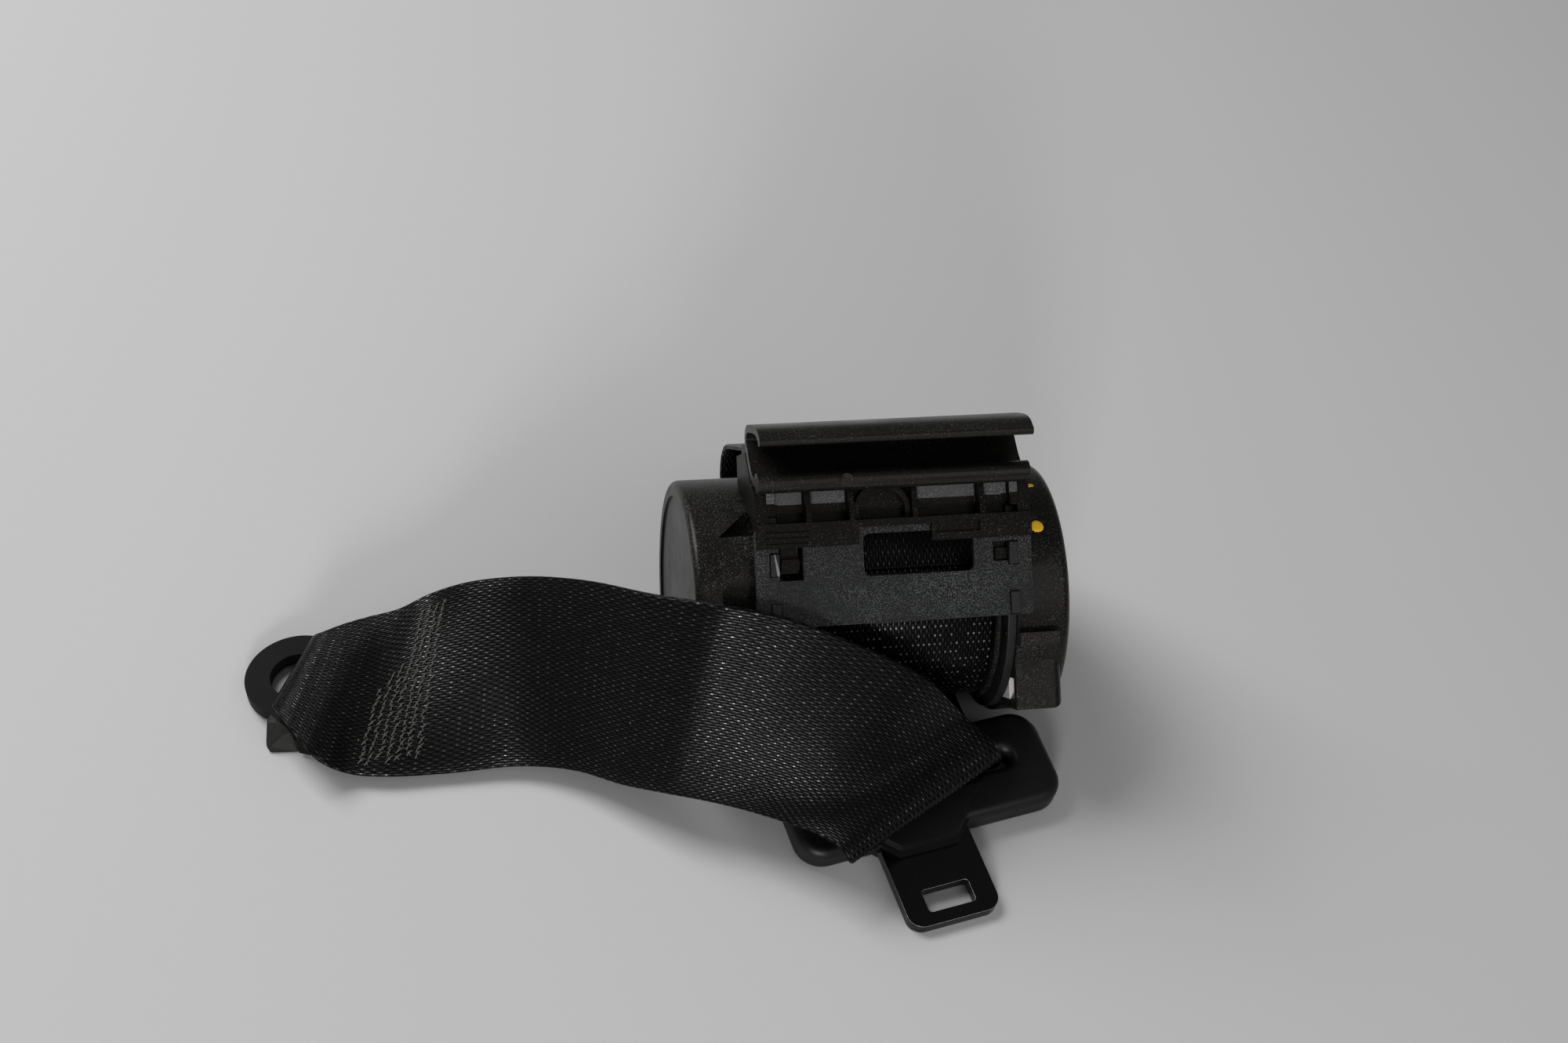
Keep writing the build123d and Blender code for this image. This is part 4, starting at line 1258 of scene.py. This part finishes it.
@dataclass(frozen=True)
class Slip:
    """A thin flat piece on the upright retractor's front, given by its outline in millimetres."""

    name: str
    finish: Finish
    # Depth of its face in the upright retractor
    front: float
    outline: tuple[Pair, ...]
    thickness: float = 0.12

    def build(self) -> bpy.types.Object:
        """Makes the piece.

        Returns:
            The piece.
        """
        count = len(self.outline)
        vertices = []
        for depth in (self.front, self.front + self.thickness):
            vertices.extend(row(x, *laid(depth, z)) for x, z in self.outline)
        faces = [tuple(range(count)), tuple(reversed(range(count, 2 * count)))]
        for k in range(count):
            after = (k + 1) % count
            faces.append((k, k + count, after + count, after))
        return new_piece(self.name, self.finish, vertices, faces, smooth=False)


@dataclass
class Retractor(Assembly):
    """The retractor's outer parts, its two paint marks, the labels' ends and a bright sheared tab."""

    dress: tuple[Dress, ...] = (
        Dress("frame", Finish.FRAME, 0.25), Dress("tie_plate", Finish.TIE_PLATE, 0.25),
        Dress("guide_body", Finish.GUIDE, 0.2), Dress("guide_channel", Finish.HOOD, 0.25),
        Dress("labels", Finish.LABEL), Dress("spring_cover", Finish.CAP, 0.3),
        Dress("sensor_cover", Finish.CAP, 0.3))
    marks: tuple[PaintMark, ...] = (
        PaintMark("paint_mark", 34.3, 148.8, 1.45, 1.5, 0.12),
        PaintMark("paint_mark_small", 35.3, 123.5, 1.1, 0.7, 0.10))
    slips: tuple[Slip, ...] = (
        Slip("label_end_left", Finish.LABEL, -30.2,
             ((-28.4, 22.7), (-26.6, 22.7), (-26.6, 25.5), (-28.4, 25.4))),
        Slip("label_left", Finish.LABEL, -27.6,
             ((-26.5, 22.7), (-24.4, 22.7), (-24.4, 25.5), (-26.5, 25.5))),
        Slip("label_end_right", Finish.LABEL, -30.2,
             ((26.5, 22.7), (28.3, 22.7), (28.3, 25.4), (26.5, 25.5))),
        Slip("label_right", Finish.LABEL, -27.6,
             ((24.3, 22.7), (26.4, 22.7), (26.4, 25.5), (24.3, 25.5))),
        Slip("sheared_tab", Finish.SHEARED_STEEL, -30.34,
             ((-27.2, 11.8), (-27.0, 12.0), (-26.7, 10.6), (-26.3, 9.0), (-26.1, 7.6), (-26.3, 6.9),
              (-26.7, 7.4), (-26.9, 9.2)), 0.16))

    def add(self) -> list[bpy.types.Object]:
        """Makes the small trim.

        Returns:
            The paint marks and the slips.
        """
        trim = [piece.build() for piece in self.marks + self.slips]
        for piece in trim:
            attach(piece, Body.ROOT.value)
        return trim


@dataclass
class Anchor(Assembly):
    """The end anchor with its lug, which is bent down to the table beside the webbing."""

    dress: tuple[Dress, ...] = (Dress("anchor_plate", Finish.ANCHOR, 0.5),)
    # The lug's corners, and its edges' rounding: width, faces across and the least angle
    corners: tuple[Spot, ...] = (
        (-137.0, -4.6, 4.2), (-134.5, -6.5, 4.8), (-137.8, -7.2, 4.3), (-135.7, -8.0, 5.1),
        (-132.3, -10.6, 4.9), (-138.3, -12.0, 1.4), (-136.8, -12.4, 2.0), (-137.3, -13.0, 0.15),
        (-130.7, -13.3, 0.15), (-129.9, -10.5, 0.15), (-137.0, -4.6, 1.7), (-134.0, -6.0, 2.4))
    rounding: float = 0.45
    segments: int = 3
    sharp: float = 25.0

    def add(self) -> list[bpy.types.Object]:
        """Makes the lug as the hull of its corners, with rounded edges.

        Returns:
            The lug.
        """
        shape = bmesh.new()
        for corner in self.corners:
            shape.verts.new(row(*corner))
        hull = bmesh.ops.convex_hull(shape, input=shape.verts)
        inside = [item for item in hull["geom_interior"] if isinstance(item, bmesh.types.BMVert)]
        bmesh.ops.delete(shape, geom=inside, context="VERTS")
        mesh = bpy.data.meshes.new("bent_lug")
        shape.to_mesh(mesh)
        shape.free()
        lug = link("bent_lug", mesh)
        round_edges(lug, self.rounding, self.segments, self.sharp)
        paint(lug, Finish.LUG)
        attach(lug, Body.ANCHOR.value)
        return [lug]


@dataclass(frozen=True)
class Lamp:
    """A soft square lamp. Place and size are in metres, power is in watts."""

    name: str
    place: Spot
    size: float
    power: float
    aim: Spot = (0.0, 0.0, 0.03)

    def build(self) -> bpy.types.Object:
        """Hangs the lamp and turns it to the belt.

        Returns:
            The lamp.
        """
        data = bpy.data.lights.new(self.name, "AREA")
        data.shape = "SQUARE"
        data.size = self.size
        data.energy = self.power
        lamp = link(self.name, data)
        lamp.location = self.place
        lamp.rotation_euler = (Vector(self.aim) - Vector(self.place)).to_track_quat("-Z", "Y").to_euler()
        return lamp


@dataclass
class Studio(Assembly):
    """The camera, the table and the light."""

    # The camera's turn in degrees
    pitch: float = 48.0
    yaw: float = 16.5
    roll: float = -9.4
    # A point of the retractor in millimetres, how far ahead it is, and where a picture of this size
    # shows it
    target: Spot = (3.0, 0.0, 28.5)
    depth: float = 600.0
    pixel: Pair = (1122.0, 757.0)
    size: tuple[int, int] = (2000, 1330)
    # Focal length in pixels, sensor width in millimetres, and the nearest and farthest sight in metres
    focal: float = 3300.0
    sensor: float = 36.0
    clip: Pair = (0.01, 20.0)
    # Half the table's side in metres, and the strength of the pale light from all sides
    table_half: float = 3.0
    surround: float = 0.15
    lamps: tuple[Lamp, ...] = (
        Lamp("key", (-0.52, 0.48, 0.85), 0.6, 10.0),
        Lamp("front", (-0.22, -1.00, 0.36), 0.22, 6.0),
        Lamp("fill", (0.55, -0.70, 0.85), 0.8, 1.8))

    def add(self) -> list[bpy.types.Object]:
        """Makes the camera, the table and the lamps."""
        return [self.camera(), self.table(), *self.light()]

    def camera(self) -> bpy.types.Object:
        """Places the camera as in the photo.

        Returns:
            The camera.
        """
        pitch, yaw, roll = (math.radians(angle) for angle in (self.pitch, self.yaw, self.roll))
        forward = Vector((math.sin(yaw) * math.cos(pitch), math.cos(yaw) * math.cos(pitch), -math.sin(pitch)))
        flat = Vector((math.cos(yaw), -math.sin(yaw), 0.0))
        high = flat.cross(forward)
        right = math.cos(roll) * flat - math.sin(roll) * high
        up = math.sin(roll) * flat + math.cos(roll) * high
        dx = (self.pixel[0] - self.size[0] / 2) / self.focal
        dy = (self.size[1] / 2 - self.pixel[1]) / self.focal
        ray = forward + dx * right + dy * up
        place = row(*self.target) - ray * self.depth * MM
        data = bpy.data.cameras.new("camera")
        data.sensor_width = self.sensor
        data.lens = self.sensor * self.focal / self.size[0]
        data.clip_start, data.clip_end = self.clip
        camera = link("camera", data)
        turn = Matrix((right, up, -forward)).transposed().to_4x4()
        camera.matrix_world = Matrix.Translation(place) @ turn
        bpy.context.scene.camera = camera
        return camera

    def table(self) -> bpy.types.Object:
        """Makes a pale surface under the belt.

        Returns:
            The table.
        """
        half = self.table_half
        corners = [Vector((x, y, 0)) for x, y in ((-half, -half), (half, -half), (half, half), (-half, half))]
        table = new_piece("table", Finish.TABLE, corners, [(0, 1, 2, 3)], smooth=False)
        return table

    def light(self) -> list[bpy.types.Object]:
        """Hangs the lamps in a pale surround.

        The key lamp is strong, wide and behind the belt, the front one small and low, and the fill
        weak, wide and at the right.

        Returns:
            The lamps.
        """
        world = bpy.data.worlds.new("surround")
        world.use_nodes = True
        background = world.node_tree.nodes["Background"]
        background.inputs["Color"].default_value = grey(1.0)
        background.inputs["Strength"].default_value = self.surround
        bpy.context.scene.world = world
        return [lamp.build() for lamp in self.lamps]


def main() -> None:
    """Builds the looks of the seat belt, one sub-assembly after the other."""
    logging.basicConfig(level=logging.INFO)
    bpy.context.scene.view_settings.view_transform = "Standard"
    for assembly in (Mechanism(), Tongue(), Webbing(), Retractor(), Anchor(), Studio()):
        for piece in assembly.build(frame["nodes"]):
            log.info("%s: %s", type(assembly).__name__, piece.name)


if __name__ == "__main__":
    main()
